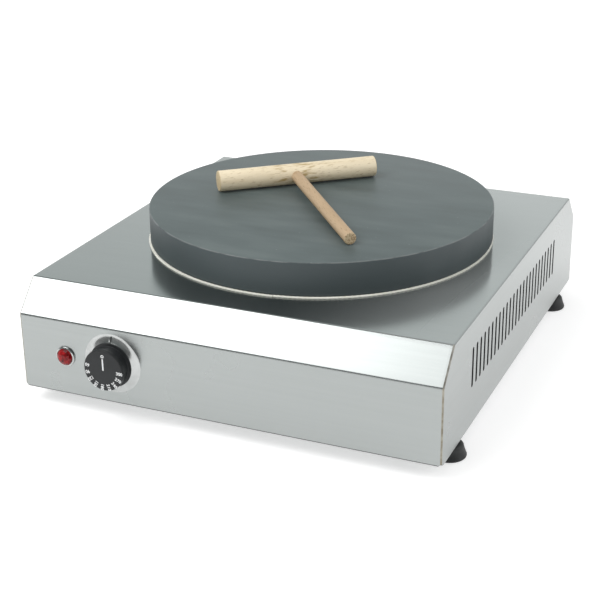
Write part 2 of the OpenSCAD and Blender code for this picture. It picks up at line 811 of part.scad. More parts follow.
module element_clamp_disc() color(zinc) difference() {
    translate([0, plate_setback, wool_top_z]) cylinder(d = clamp_disc_d, h = clamp_disc_t);
    stack_holes(wool_top_z, clamp_disc_t, element_bend_r);
}

module insulation_pad() color("wheat") difference() {
    translate([0, plate_setback, shield_top_z])
        cylinder(d = shield_d - 2 * shield_t - 2 * sheet_gap, h = wool_t);
    stack_holes(shield_top_z, wool_t, element_bend_r);
}

module heat_shield() color(zinc) difference() {
    translate([0, plate_setback, bridge_top_z]) difference() {
        cylinder(d = shield_d, h = shield_h);
        translate([0, 0, shield_t]) cylinder(d = shield_d - 2 * shield_t, h = shield_h);
    }
    stack_holes(bridge_top_z, shield_t, element_d / 2);
}

// Bent bar under the wool dish, whose ends bear against the underside of the top sheet
module hold_down_bridge() color(zinc) difference() {
    flat = shield_d / 2 + bridge_side_gap;
    ramp = bridge_ramp;
    ends = flat + ramp;
    low = bridge_top_z - bridge_t;
    high = bridge_pad_z - bridge_t;
    translate([0, plate_setback + bridge_w / 2, 0]) rotate([90, 0, 0]) linear_extrude(height = bridge_w)
        polygon([
            [-ends - bridge_pad, high], [-ends, high], [-flat, low],
            [flat, low], [ends, high], [ends + bridge_pad, high],
            [ends + bridge_pad, bridge_pad_z], [ends, bridge_pad_z], [flat, bridge_top_z],
            [-flat, bridge_top_z], [-ends, bridge_pad_z], [-ends - bridge_pad, bridge_pad_z]
        ]);
    at_studs() translate([0, 0, low - over]) cylinder(d = stud_d + 2 * hole_gap, h = bridge_t + 2 * over);
}

module plate_studs() color(zinc) at_studs() translate([0, 0, stud_bottom_z])
    cylinder(d = stud_d, h = stud_top_z - stud_bottom_z);

module stud_washers() color(zinc) at_studs() translate([0, 0, washer_z])
    washer(stud_d * 1.1, stud_d / 2 + hole_gap, stud_washer_t);

module stud_nuts() color(zinc) at_studs() translate([0, 0, stud_nut_z])
    hex_nut(stud_d * 0.92, stud_d / 2, stud_nut_h);

// Chrome ring that rises towards the knob, and the thin back plate that the thermostat screws hold
module dial_bezel() color(chrome) on_front(dial_x, dial_z) difference() {
    union() {
        rotate_extrude() rising_section();
        cylinder(r = (bezel_bore_r + bezel_r) / 2, h = bezel_back_t);
    }
    translate([0, 0, -over]) cylinder(r = bush_r + hole_gap, h = bezel_back_t + 2 * over);
    thermostat_screw_holes(panel_screw_d / 2 + hole_gap, -over, bezel_back_t + 2 * over);
}

// Section of the ring: low outer wall, small rounding, straight slope up to the inner edge
module rising_section() {
    edge = [bezel_r - bezel_edge_r, bezel_h - bezel_edge_r];
    inner = [bezel_bore_r, bezel_inner_h];
    reach = norm(edge - inner);
    fall = atan2(edge[1] - inner[1], edge[0] - inner[0]) + asin(bezel_edge_r / reach);
    slope_l = sqrt(reach * reach - bezel_edge_r * bezel_edge_r);
    polygon([
        [bezel_bore_r, 0], [bezel_r, 0], [bezel_r, edge[1]], edge,
        inner + slope_l * [cos(fall), sin(fall)], inner
    ]);
    translate(edge) circle(r = bezel_edge_r);
}

// Half-round section of a ring on a short straight foot
module bezel_section(inner_r, outer_r, h) {
    crown_r = (outer_r - inner_r) / 2;
    foot = max(0.2, h - crown_r);
    translate([inner_r, 0]) square([2 * crown_r, foot]);
    intersection() {
        translate([inner_r + crown_r, foot]) circle(r = crown_r);
        translate([inner_r, foot]) square([2 * crown_r, crown_r]);
    }
}

// Outline of the shaft's end: round with one flat
module shaft_outline(gap) {
    intersection() {
        circle(d = shaft_d + 2 * gap);
        translate([-shaft_d, -shaft_d]) square([2 * shaft_d, 1.5 * shaft_d - shaft_flat + gap]);
    }
}

module control_knob() color(black_plastic) on_front(dial_x, dial_z) difference() {
    rotate_extrude() {
        translate([0, knob_back]) square([knob_flange_r, knob_flange_t]);
        translate([0, knob_back]) square([knob_skirt_r, knob_reach - knob_face_t - knob_back + over]);
        translate([0, knob_reach - knob_face_t]) square([knob_face_r, knob_face_t - knob_edge_r]);
        translate([0, knob_reach - knob_face_t]) square([knob_face_r - knob_edge_r, knob_face_t]);
        translate([knob_face_r - knob_edge_r, knob_reach - knob_edge_r]) circle(r = knob_edge_r);
    }
    translate([0, 0, knob_back - over])
        linear_extrude(height = knob_reach - knob_web - knob_back + over) shaft_outline(thread_gap);
}

module thermostat_shaft() color(zinc) on_front(dial_x, dial_z) {
    translate([0, 0, panel_back - shaft_sink])
        cylinder(d = shaft_d, h = knob_back - panel_back + shaft_sink);
    translate([0, 0, knob_back])
        linear_extrude(height = knob_reach - knob_web - shaft_end_gap - knob_back) shaft_outline(0);
}

module thermostat_body() color("whitesmoke") {
    on_front(dial_x, dial_z) difference() {
        union() {
            translate([-thermostat_plate_w / 2, -thermostat_h / 2, panel_back - thermostat_plate_t])
                cube([thermostat_plate_w, thermostat_h, thermostat_plate_t]);
            translate([-thermostat_w / 2, -thermostat_h / 2, thermostat_back])
                cube([thermostat_w, thermostat_h, thermostat_depth]);
            translate([0, 0, panel_back - over]) cylinder(r = bush_r, h = over + bush_l - panel_back);
        }
        translate([0, 0, panel_back - shaft_sink - shaft_end_gap])
            cylinder(d = shaft_d + 2 * thread_gap, h = shaft_sink + shaft_end_gap - panel_back + bush_l + over);
        thermostat_screw_holes(
            panel_screw_d / 2 + thread_gap, panel_back - screw_grip - over, screw_grip + 2 * over
        );
    }
    for (tab = [live_tab, switched_tab, lamp_tab])
        translate([tab[0] - tab_w / 2, tab[1] - tab_l, tab[2] - tab_t / 2]) cube([tab_w, tab_l, tab_t]);
}

module thermostat_screws() color(zinc) on_front(dial_x, dial_z) {
    thermostat_screw_holes(screw_head_r, bezel_back_t, screw_head_h);
    thermostat_screw_holes(
        panel_screw_d / 2, panel_back - screw_grip, screw_grip - panel_back + bezel_back_t
    );
}

module sensor_bulb() color("rosybrown") translate([-bulb_l / 2, bulb_y, bulb_z]) rotate([0, 90, 0])
    cylinder(d = bulb_d, h = bulb_l);

// Channel on the clamp disc that holds the bulb against the plate
module bulb_saddle() color(zinc) {
    inner = bulb_d + 2 * saddle_gap;
    floor_t = bulb_z - bulb_d / 2 - saddle_gap - disc_top_z;
    translate([-saddle_l / 2, bulb_y, disc_top_z]) difference() {
        translate([0, -inner / 2 - saddle_wall, 0])
            cube([saddle_l, inner + 2 * saddle_wall, floor_t + bulb_d / 2]);
        translate([-over, -inner / 2, floor_t]) cube([saddle_l + 2 * over, inner, bulb_d]);
    }
}

module capillary_tube() color("rosybrown") swept_tube(rounded([
    [-bulb_l / 2, bulb_y, bulb_z],
    [capillary_drop_x, bulb_y, bulb_z],
    [capillary_drop_x, bulb_y, dial_z + capillary_port_up],
    [capillary_port_x, bulb_y, dial_z + capillary_port_up],
    [capillary_port_x, tab_y - tab_l, dial_z + capillary_port_up]
], capillary_bend_r), capillary_d);

module pilot_bezel() color(chrome) on_front(pilot_x, pilot_z)
    rotate_extrude() bezel_section(pilot_lens_r + pilot_lens_fit, pilot_ring_r, pilot_ring_h);

// Red lens: round foot with a faceted cone on it
module pilot_lens() color("firebrick") on_front(pilot_x, pilot_z) {
    cylinder(r = pilot_lens_r, h = pilot_lens_rim);
    translate([0, 0, pilot_lens_rim])
        cylinder(r1 = pilot_lens_r, r2 = pilot_lens_tip_r, h = pilot_lens_h - pilot_lens_rim, $fn = 12);
}

module pilot_body() color(black_plastic) on_front(pilot_x, pilot_z) {
    translate([0, 0, panel_back - pilot_body_l]) cylinder(r = pilot_body_r, h = pilot_body_l - panel_back);
    for (s = [-1, 1]) translate([s * pilot_pin_half, 0, panel_back - pilot_body_l - pilot_pin_l])
        cylinder(d = pilot_pin_d, h = pilot_pin_l);
}

module pilot_nut() color(black_plastic) on_front(pilot_x, pilot_z)
    translate([0, 0, panel_back - pilot_nut_h]) hex_nut(pilot_nut_r, pilot_body_r, pilot_nut_h);

// Gland: body with hexagon and thread, rubber seal with collar, domed cap and lock nut inside the casing
module gland_body() color(black_plastic) on_rear(gland_x, gland_z) difference() {
    union() {
        translate([0, 0, panel_back - gland_tail])
            cylinder(r = gland_thread_r, h = gland_tail - panel_back + gland_thread_end);
        cylinder(r = gland_hex_r, h = gland_hex_t, $fn = 6);
    }
    translate([0, 0, panel_back - gland_tail - over])
        cylinder(r = gland_sleeve_r, h = gland_tail - panel_back + gland_thread_end + 2 * over);
}

module gland_seal() color(black_rubber) on_rear(gland_x, gland_z) difference() {
    union() {
        translate([0, 0, gland_seal_start])
            cylinder(r = gland_sleeve_r - thread_gap, h = gland_thread_end - gland_seal_start);
        translate([0, 0, gland_thread_end]) cylinder(r = gland_thread_r - thread_gap, h = gland_collar_t);
    }
    translate([0, 0, gland_seal_start - over])
        cylinder(r = gland_bore_r, h = gland_thread_end + gland_collar_t - gland_seal_start + 2 * over);
}

module gland_cap() color(black_plastic) on_rear(gland_x, gland_z) difference() {
    union() {
        translate([0, 0, gland_hex_t + gland_cap_gap])
            cylinder(r = gland_cap_r, h = gland_cap_l - gland_lip_t - gland_collar_t, $fn = 6);
        translate([0, 0, gland_end - gland_lip_t - gland_collar_t - over])
            cylinder(r = gland_thread_r + gland_nose_wall, h = gland_lip_t + gland_collar_t + over);
    }
    translate([0, 0, gland_hex_t])
        cylinder(r = gland_thread_r + thread_gap, h = gland_end - gland_lip_t - gland_hex_t);
    cylinder(r = gland_bore_r + gland_mouth_wall, h = gland_end + over);
}

module gland_locknut() color(black_plastic) on_rear(gland_x, gland_z)
    translate([0, 0, panel_back - gland_nut_h]) hex_nut(gland_hex_r, gland_thread_r, gland_nut_h);

module terminal_block() color("ivory") difference() {
    translate([gland_x - block_w / 2, block_y - block_depth / 2, pan_top_z])
        cube([block_w, block_depth, block_h]);
    for (s = [-1, 1]) translate([gland_x + s * terminal_pitch / 2, block_y, pan_top_z - over]) {
        cylinder(d = block_screw_d + 2 * hole_gap, h = block_h + 2 * over);
        translate([0, 0, block_h - block_screw_sink + over])
            cylinder(d = 2 * block_screw_d + 2 * hole_gap, h = block_h);
    }
}

module terminal_block_screws() color(zinc) for (s = [-1, 1])
    translate([gland_x + s * terminal_pitch / 2, block_y, base_z - base_t]) {
        cylinder(d = block_screw_d, h = pan_top_z + block_h - block_screw_sink - base_z + base_t);
        translate([0, 0, pan_top_z + block_h - block_screw_sink - base_z + base_t])
            cylinder(d = 2 * block_screw_d, h = 0.6 * block_screw_d);
    }

module earth_stud() color("goldenrod") translate([earth_x, earth_y, base_z])
    cylinder(d = earth_d, h = base_t + 2 * earth_nut_h + earth_eye_t + earth_tail);

module earth_nuts() color("goldenrod") for (z = [pan_top_z, pan_top_z + earth_nut_h + earth_eye_t])
    translate([earth_x, earth_y, z]) hex_nut(earth_d * 0.9, earth_d / 2, earth_nut_h);

// Leads, each from terminal to terminal
function behind(tab, run) = [tab[0], tab[1] + run, tab[2]];
function block_way(i, z) = [way_x(i), block_front_y, z];
function pin_foot(side) = concat(leg_place(outer_ring_r, side), [pin_end_z]);
function below(p, drop) = [p[0], p[1], p[2] - drop];
function pilot_pin(side) = [pilot_x + side * pilot_pin_half, pilot_pin_y, pilot_z];

module live_lead() color("saddlebrown") swept_tube(rounded([
    block_way(1, way_z), behind(block_way(1, way_z), -lead_run), behind(live_tab, lead_run), live_tab
], lead_bend_r), lead_d);

module switched_lead() color("black") swept_tube(rounded([
    switched_tab, behind(switched_tab, lead_run), below(pin_foot(-1), lead_drop), pin_foot(-1)
], lead_bend_r), lead_d);

module neutral_lead() color("royalblue") swept_tube(rounded([
    block_way(2, way_z), behind(block_way(2, way_z), -loop_run), below(pin_foot(1), lead_drop), pin_foot(1)
], lead_bend_r), lead_d);

// The earth lead ends in an eye that the two earth nuts hold
module earth_lead() color("olivedrab") {
    eye_z = pan_top_z + earth_nut_h;
    heading = unit([way_x(0) - earth_x, block_front_y - loop_run - earth_y]);
    tail = [earth_x, earth_y] + heading * (earth_eye_r + lead_d / 2);
    translate([earth_x, earth_y, eye_z]) difference() {
        union() {
            cylinder(r = earth_eye_r, h = earth_eye_t);
            rotate([0, 0, atan2(heading[1], heading[0])]) translate([0, -lead_d / 2, 0])
                cube([earth_eye_r + lead_d, lead_d, earth_eye_t]);
        }
        translate([0, 0, -over]) cylinder(d = earth_d + 2 * thread_gap, h = earth_eye_t + 2 * over);
    }
    swept_tube(rounded([
        [tail[0], tail[1], eye_z + earth_eye_t / 2],
        behind(block_way(0, way_z), -loop_run), block_way(0, way_z)
    ], lead_bend_r), lead_d);
}

module pilot_leads() color("dimgray") {
    swept_tube(rounded([
        pilot_pin(1), [pilot_pin(1)[0], tab_y + loop_run, pilot_z],
        behind(lamp_tab, loop_run), lamp_tab
    ], lead_bend_r), pilot_pin_d);
    swept_tube(rounded([
        pilot_pin(-1), behind(pilot_pin(-1), loop_run),
        [pilot_pin(-1)[0], pilot_pin_y + loop_run, low_way_z],
        behind(block_way(2, low_way_z), -lead_run), block_way(2, low_way_z)
    ], lead_bend_r), pilot_pin_d);
}

// Turned wooden bar with a blind socket for the handle
module spreader_place() {
    translate([bar_x, bar_y, bar_z]) rotate([0, 0, bar_angle]) children();
}

module handle_place() {
    spreader_place() translate([handle_side, 0, 0])
        rotate([0, 0, -90]) rotate([0, 90 + handle_dip, 0]) children();
}

module rod(d, l, edge) {
    cylinder(d1 = d - 2 * edge, d2 = d, h = edge);
    translate([0, 0, edge]) cylinder(d = d, h = l - 2 * edge);
    translate([0, 0, l - edge]) cylinder(d1 = d, d2 = d - 2 * edge, h = edge);
}

module spreader_bar() color("burlywood") difference() {
    spreader_place() rotate([0, 90, 0]) translate([0, 0, -bar_l / 2]) rod(bar_d, bar_l, bar_edge);
    handle_place() translate([0, 0, bar_d / 2 - socket_depth])
        cylinder(d = handle_d + 2 * thread_gap, h = bar_d);
}

module spreader_handle() color("tan") handle_place()
    translate([0, 0, bar_d / 2 - socket_depth + socket_floor_gap])
        rod(handle_d, handle_reach - bar_d / 2 + socket_depth - socket_floor_gap, handle_edge);

casing();
base_pan();
base_screws();
front_left_foot();
front_right_foot();
rear_left_foot();
rear_right_foot();
foot_screws();
foot_washers();
foot_nuts();
cooking_plate();
rope_seal();
outer_element();
inner_element();
element_links();
element_clamp_disc();
insulation_pad();
heat_shield();
hold_down_bridge();
plate_studs();
stud_washers();
stud_nuts();
dial_bezel();
control_knob();
thermostat_shaft();
thermostat_body();
thermostat_screws();
sensor_bulb();
bulb_saddle();
capillary_tube();
pilot_bezel();
pilot_lens();
pilot_body();
pilot_nut();
gland_body();
gland_seal();
gland_cap();
gland_locknut();
terminal_block();
terminal_block_screws();
earth_stud();
earth_nuts();
live_lead();
switched_lead();
neutral_lead();
earth_lead();
pilot_leads();
spreader_bar();
spreader_handle();
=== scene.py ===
from math import asin, cos, pi, radians, sin

import bmesh
import bpy
from mathutils import Matrix, Vector


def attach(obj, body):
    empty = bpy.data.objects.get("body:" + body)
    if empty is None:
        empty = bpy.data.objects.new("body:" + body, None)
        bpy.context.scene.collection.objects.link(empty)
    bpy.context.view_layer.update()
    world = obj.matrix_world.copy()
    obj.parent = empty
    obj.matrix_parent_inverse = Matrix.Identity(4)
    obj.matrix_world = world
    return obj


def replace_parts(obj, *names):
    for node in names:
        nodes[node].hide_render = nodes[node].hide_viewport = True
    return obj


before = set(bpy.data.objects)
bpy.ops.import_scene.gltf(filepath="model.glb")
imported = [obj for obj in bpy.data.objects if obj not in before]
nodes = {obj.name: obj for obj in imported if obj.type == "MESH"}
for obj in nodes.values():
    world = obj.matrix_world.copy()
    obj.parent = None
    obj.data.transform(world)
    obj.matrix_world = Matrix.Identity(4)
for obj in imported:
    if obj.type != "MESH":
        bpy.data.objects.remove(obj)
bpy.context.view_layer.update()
scene = bpy.context.scene
scene.view_settings.view_transform = "Standard"

# Camera: a long lens on a stand in front of the griddle and to its right, looking down on the plate.
# It shows the front panel, the right side with its slots and the whole plate.
photo_camera = bpy.data.cameras.new("photo_camera")
photo_camera.lens = 84.295
photo_camera.sensor_width = 36
photo_camera.clip_end = 50
camera_stand = bpy.data.objects.new("photo_camera", photo_camera)
camera_stand.location = (0.52328, -1.23869, 0.6199)
camera_stand.rotation_euler = (radians(66.9485), radians(0.6499), radians(23.4783))
scene.collection.objects.link(camera_stand)
scene.camera = camera_stand

# Studio: a pale table top that runs out of the picture, a large soft lamp in front and above to the left
# that fades towards its right end, and a smaller one at the right. The room is white low down behind the
# table, and greyer above, at the sides and behind the camera.
table_reach = 12
table_bm = bmesh.new()
bmesh.ops.create_grid(table_bm, x_segments=1, y_segments=1, size=table_reach)
table_mesh = bpy.data.meshes.new("table_top")
table_bm.to_mesh(table_mesh)
table_bm.free()
table_top = bpy.data.objects.new("table_top", table_mesh)
scene.collection.objects.link(table_top)


def add_math(tree, operation, *terms):
    """Result of a calculation with sockets and plain numbers."""
    calculation = tree.nodes.new("ShaderNodeMath")
    calculation.operation = operation
    for entry, term in zip(calculation.inputs, terms):
        if isinstance(term, (int, float)):
            entry.default_value = term
        else:
            tree.links.new(term, entry)
    return calculation.outputs[0]


def seen_directly(tree):
    """Socket that is 1 for rays that show the room itself: camera, glossy and transmission rays."""
    path = tree.nodes.new("ShaderNodeLightPath").outputs
    either = add_math(tree, "MAXIMUM", path["Is Camera Ray"], path["Is Glossy Ray"])
    return add_math(tree, "MAXIMUM", either, path["Is Transmission Ray"])


def add_span(tree, source, low, high, to_low=0.0, to_high=1.0, easing="LINEAR"):
    """Carries the span of a socket between two values over to another span, held at both ends."""
    span = tree.nodes.new("ShaderNodeMapRange")
    span.interpolation_type = easing
    span.inputs["From Min"].default_value = low
    span.inputs["From Max"].default_value = high
    span.inputs["To Min"].default_value = to_low
    span.inputs["To Max"].default_value = to_high
    tree.links.new(source, span.inputs["Value"])
    return span.outputs["Result"]


def add_product(tree, *sources):
    """Product of some sockets."""
    result = sources[0]
    for source in sources[1:]:
        result = add_math(tree, "MULTIPLY", result, source)
    return result


def split_axes(tree, source):
    """The X, Y and Z outputs of a vector socket."""
    split = tree.nodes.new("ShaderNodeSeparateXYZ")
    tree.links.new(source, split.inputs[0])
    return split.outputs


def add_ramp(tree, source, stops):
    """Colours over a 0 to 1 socket: stops are (place, (red, green, blue))."""
    ramp = tree.nodes.new("ShaderNodeValToRGB").color_ramp
    node = tree.nodes[-1]
    while len(ramp.elements) < len(stops):
        ramp.elements.new(0.5)
    for element, (place, colour) in zip(ramp.elements, stops):
        element.position = place
        element.color = (*colour, 1)
    tree.links.new(source, node.inputs["Fac"])
    return node.outputs["Color"]


table_paper = bpy.data.materials.new("table_paper")
table_paper.use_nodes = True
tree = table_paper.node_tree
tree.nodes.clear()
paper = tree.nodes.new("ShaderNodeBsdfDiffuse")
paper.inputs["Color"].default_value = (0.8, 0.8, 0.8, 1)
glow = tree.nodes.new("ShaderNodeEmission")
glow.inputs["Color"].default_value = (1, 1, 1, 1)
table_place = tree.nodes.new("ShaderNodeTexCoord")
from_griddle = tree.nodes.new("ShaderNodeVectorMath")
from_griddle.operation = "LENGTH"
tree.links.new(table_place.outputs["Object"], from_griddle.inputs[0])
far_glow = add_span(tree, from_griddle.outputs["Value"], 0.45, 1.8, to_low=0.46, to_high=0.47)
tree.links.new(add_product(tree, seen_directly(tree), far_glow), glow.inputs["Strength"])
paper_and_glow = tree.nodes.new("ShaderNodeAddShader")
tree.links.new(paper.outputs[0], paper_and_glow.inputs[0])
tree.links.new(glow.outputs[0], paper_and_glow.inputs[1])
table_output = tree.nodes.new("ShaderNodeOutputMaterial")
tree.links.new(paper_and_glow.outputs[0], table_output.inputs["Surface"])
table_mesh.materials.append(table_paper)

room = bpy.data.worlds.new("studio_room")
room.use_nodes = True
scene.world = room
tree = room.node_tree
tree.nodes.clear()
direction = tree.nodes.new("ShaderNodeTexCoord")
heading = split_axes(tree, direction.outputs["Generated"])
white = (1, 1, 1)
height_tone = add_ramp(tree, heading["Z"], [
    (0.16, white), (0.42, (0.63, 0.685, 0.68)), (0.8, (0.3, 0.31, 0.31)),
])
front_tone = add_span(tree, heading["Y"], -0.55, 0.25, to_low=0.36, to_high=1.28)
side_tone = add_ramp(tree, add_span(tree, heading["X"], -1, 1), [
    (0.22, (0.8, 0.8, 0.8)), (0.37, white), (0.52, white), (0.6, (0.6, 0.6, 0.6)),
])
room_light = tree.nodes.new("ShaderNodeBackground")
room_light.inputs["Color"].default_value = (1, 1, 1, 1)
room_light.inputs["Strength"].default_value = 0.7
room_seen = tree.nodes.new("ShaderNodeBackground")
tree.links.new(height_tone, room_seen.inputs["Color"])
tree.links.new(add_product(tree, front_tone, side_tone), room_seen.inputs["Strength"])
room_mix = tree.nodes.new("ShaderNodeMixShader")
tree.links.new(seen_directly(tree), room_mix.inputs["Fac"])
tree.links.new(room_light.outputs[0], room_mix.inputs[1])
tree.links.new(room_seen.outputs[0], room_mix.inputs[2])
room_output = tree.nodes.new("ShaderNodeOutputWorld")
tree.links.new(room_mix.outputs[0], room_output.inputs["Surface"])


def soft_lamp(name, place, target, width, depth, watts):
    """Rectangular soft box that hangs at a place and faces a target."""
    box = bpy.data.lights.new(name, "AREA")
    box.shape = "RECTANGLE"
    box.size = width
    box.size_y = depth
    box.energy = watts
    lamp = bpy.data.objects.new(name, box)
    lamp.location = place
    lamp.rotation_euler = (Vector(target) - Vector(place)).to_track_quat("-Z", "Y").to_euler()
    scene.collection.objects.link(lamp)
    return lamp


front_softbox = soft_lamp(
    "front_softbox", place=(-0.78, -1.14, 1.74), target=(0, -0.22, 0.1), width=1.7, depth=1.3, watts=27
)
front_softbox.data.use_nodes = True
tree = front_softbox.data.node_tree
on_box = tree.nodes.new("ShaderNodeNewGeometry")
across_box = split_axes(tree, on_box.outputs["Parametric"])["X"]
box_fade = add_span(tree, across_box, 0.45, 0.75, to_low=1.0, to_high=0.48)
tree.links.new(box_fade, tree.nodes["Emission"].inputs["Strength"])
soft_lamp("side_softbox", place=(2.2, 0.6, 1.5), target=(0, 0, 0.1), width=1.4, depth=1.4, watts=12.5)

# Feet: four bells of moulded black rubber, each screwed up into the base sheet from below.
# A small lip stands on the table, and the rounded shoulder ends a little under the casing's edge.
foot_places = {
    "front_left_foot": (-0.2002, -0.179),
    "front_right_foot": (0.2002, -0.179),
    "rear_left_foot": (-0.2002, 0.1825),
    "rear_right_foot": (0.2002, 0.1825),
}


def turned(corners, steps=64, closed=False):
    """Body of revolution round Z. A corner is (radius, height, rounding), in millimetres."""
    bm = bmesh.new()
    points = [bm.verts.new((r / 1000, 0, z / 1000)) for r, z, rounding in corners]
    pairs = list(zip(points, points[1:]))
    if closed:
        pairs.append((points[-1], points[0]))
    for a, b in pairs:
        bm.edges.new((a, b))
    for point, (r, z, rounding) in zip(points, corners):
        if rounding:
            bmesh.ops.bevel(
                bm, geom=[point], offset=rounding / 1000, offset_type="OFFSET", segments=5,
                profile=0.5, affect="VERTICES", material=-1,
            )
    bmesh.ops.spin(
        bm, geom=bm.verts[:] + bm.edges[:], cent=(0, 0, 0), axis=(0, 0, 1),
        angle=2 * pi, steps=steps, use_merge=True,
    )
    bmesh.ops.remove_doubles(bm, verts=bm.verts, dist=1e-6)
    bmesh.ops.recalc_face_normals(bm, faces=bm.faces)
    return bm


def make_piece(name, bm, material, body, sharp=35):
    """Object of a finished mesh, smooth but for edges sharper than an angle, riding on a CAD body."""
    mesh = bpy.data.meshes.new(name)
    bm.to_mesh(mesh)
    bm.free()
    mesh.shade_smooth()
    mesh.set_sharp_from_angle(angle=radians(sharp))
    mesh.materials.append(material)
    piece = bpy.data.objects.new(name, mesh)
    scene.collection.objects.link(piece)
    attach(piece, body)
    return piece


def blank_finish(name):
    """New node material: the material, its tree and its shader."""
    material = bpy.data.materials.new(name)
    material.use_nodes = True
    return material, material.node_tree, material.node_tree.nodes["Principled BSDF"]


def add_noise(tree, source, scale, stretch=(1, 1, 1), detail=4.0):
    """Noise over a coordinate socket, drawn out by a stretch along its axes."""
    mapping = tree.nodes.new("ShaderNodeMapping")
    mapping.inputs["Scale"].default_value = stretch
    tree.links.new(source, mapping.inputs["Vector"])
    noise = tree.nodes.new("ShaderNodeTexNoise")
    noise.inputs["Scale"].default_value = scale
    noise.inputs["Detail"].default_value = detail
    tree.links.new(mapping.outputs[0], noise.inputs["Vector"])
    return noise.outputs["Fac"]


def add_range(tree, source, low, high):
    """Spreads a noise, most of which lies between a quarter and three quarters, between two values."""
    return add_span(tree, source, 0.25, 0.75, low, high)


def add_bump(tree, shader, source, distance, strength=1.0, below=None):
    """Relief of a height socket, on top of another relief where one is given."""
    bump = tree.nodes.new("ShaderNodeBump")
    bump.inputs["Distance"].default_value = distance
    bump.inputs["Strength"].default_value = strength
    tree.links.new(source, bump.inputs["Height"])
    if below is not None:
        tree.links.new(below, bump.inputs["Normal"])
    tree.links.new(bump.outputs["Normal"], shader.inputs["Normal"])
    return bump.outputs["Normal"]


def object_coords(tree):
    """Coordinates of the piece itself, in metres."""
    return tree.nodes.new("ShaderNodeTexCoord").outputs["Object"]


def mottled(name, dark, light, scale, rough, relief=0.0, metallic=0.0):
    """Finish that wanders between two close tones, with roughness and fine relief to match."""
    material, tree, shader = blank_finish(name)
    coords = object_coords(tree)
    cloud = add_noise(tree, coords, scale)
    grit = add_noise(tree, coords, scale * 9, detail=2.0)
    tree.links.new(add_ramp(tree, cloud, [(0.3, dark), (0.7, light)]), shader.inputs["Base Color"])
    tree.links.new(add_range(tree, grit, rough[0], rough[1]), shader.inputs["Roughness"])
    shader.inputs["Metallic"].default_value = metallic
    if relief:
        add_bump(tree, shader, grit, relief)
    return material


foot_rubber = mottled(
    "foot_rubber", (0.012, 0.013, 0.014), (0.026, 0.028, 0.029),
    scale=160, rough=(0.42, 0.62), relief=0.00004
)
for node_name, (foot_x, foot_y) in foot_places.items():
    foot_bm = turned([
        (2.8, 17, 0), (7, 17, 0.3), (7, 13.4, 0.4), (12.9, 13.2, 3.2), (13.7, 8.2, 1.5), (15.3, 3.8, 1.2),
        (16.25, 1.5, 0.6), (15.6, 0, 0.5), (5.7, 0, 0.6), (5.7, 7, 0), (2.8, 7, 0),
    ], steps=56, closed=True)
    bmesh.ops.translate(foot_bm, verts=foot_bm.verts, vec=(foot_x, foot_y, 0))
    foot = make_piece(node_name + "_bell", foot_bm, foot_rubber, "appliance")
    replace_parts(foot, node_name)

# Base: a galvanised sheet with two turned-up sides that closes the casing from below.
# Its screws and the nuts and washers of the feet are zinc-plated; their CAD shapes are right and stay.
zinc_plate, tree, shader = blank_finish("zinc_plate")
coords = object_coords(tree)
spangle = tree.nodes.new("ShaderNodeTexVoronoi")
spangle.inputs["Scale"].default_value = 90
tree.links.new(coords, spangle.inputs["Vector"])
spangle_tone = split_axes(tree, spangle.outputs["Color"])
tree.links.new(
    add_ramp(tree, spangle_tone["X"], [(0, (0.42, 0.43, 0.44)), (1, (0.58, 0.59, 0.6))]),
    shader.inputs["Base Color"],
)
tree.links.new(add_range(tree, spangle_tone["Y"], 0.32, 0.48), shader.inputs["Roughness"])
shader.inputs["Metallic"].default_value = 1.0


def dress(material, *names):
    """Gives CAD nodes that keep their shape a finish."""
    for name in names:
        nodes[name].data.materials.clear()
        nodes[name].data.materials.append(material)


dress(
    zinc_plate, "base_pan", "base_screws", "foot_screws", "foot_washers", "foot_nuts", "heat_shield",
    "hold_down_bridge", "plate_studs", "stud_washers", "stud_nuts", "element_clamp_disc", "bulb_saddle",
    "thermostat_shaft", "thermostat_screws", "terminal_block_screws",
)

# Heating, controls and wiring inside the casing: tubular rings pressed up by a disc on a wool pad, a
# capillary thermostat, a terminal block and sleeved leads. Only glimpses show, so their CAD shapes stay.
element_skin = mottled(
    "element_skin", (0.09, 0.075, 0.06), (0.16, 0.135, 0.11),
    scale=220, rough=(0.4, 0.6), relief=0.00003, metallic=0.8
)
dress(element_skin, "outer_element", "inner_element", "element_links")
wool_felt = mottled(
    "wool_felt", (0.5, 0.43, 0.3), (0.72, 0.65, 0.5), scale=240, rough=(0.85, 1.0), relief=0.0004
)
dress(wool_felt, "insulation_pad")
brass = mottled(
    "brass", (0.55, 0.37, 0.12), (0.7, 0.5, 0.2), scale=200, rough=(0.25, 0.4), metallic=1.0
)
dress(brass, "earth_stud", "earth_nuts")
copper = mottled(
    "copper", (0.5, 0.22, 0.12), (0.68, 0.34, 0.2), scale=200, rough=(0.25, 0.42), metallic=1.0
)
dress(copper, "sensor_bulb", "capillary_tube")
moulded_case = mottled(
    "moulded_case", (0.6, 0.57, 0.48), (0.7, 0.67, 0.58), scale=120, rough=(0.4, 0.55), relief=0.00003
)
dress(moulded_case, "thermostat_body", "terminal_block")
black_moulding = mottled(
    "black_moulding", (0.014, 0.014, 0.015), (0.026, 0.026, 0.028),
    scale=180, rough=(0.35, 0.5), relief=0.00003
)
dress(black_moulding, "pilot_body", "pilot_nut", "gland_locknut")
sleeve_tones = {
    "live_lead": (0.16, 0.06, 0.025),
    "switched_lead": (0.02, 0.02, 0.022),
    "neutral_lead": (0.03, 0.09, 0.34),
    "earth_lead": (0.2, 0.34, 0.04),
    "pilot_leads": (0.2, 0.2, 0.21),
}
for lead, tone in sleeve_tones.items():
    worn = tuple(0.75 * part for part in tone)
    dress(mottled(lead + "_sleeve", worn, tone, scale=300, rough=(0.4, 0.6), relief=0.00002), lead)

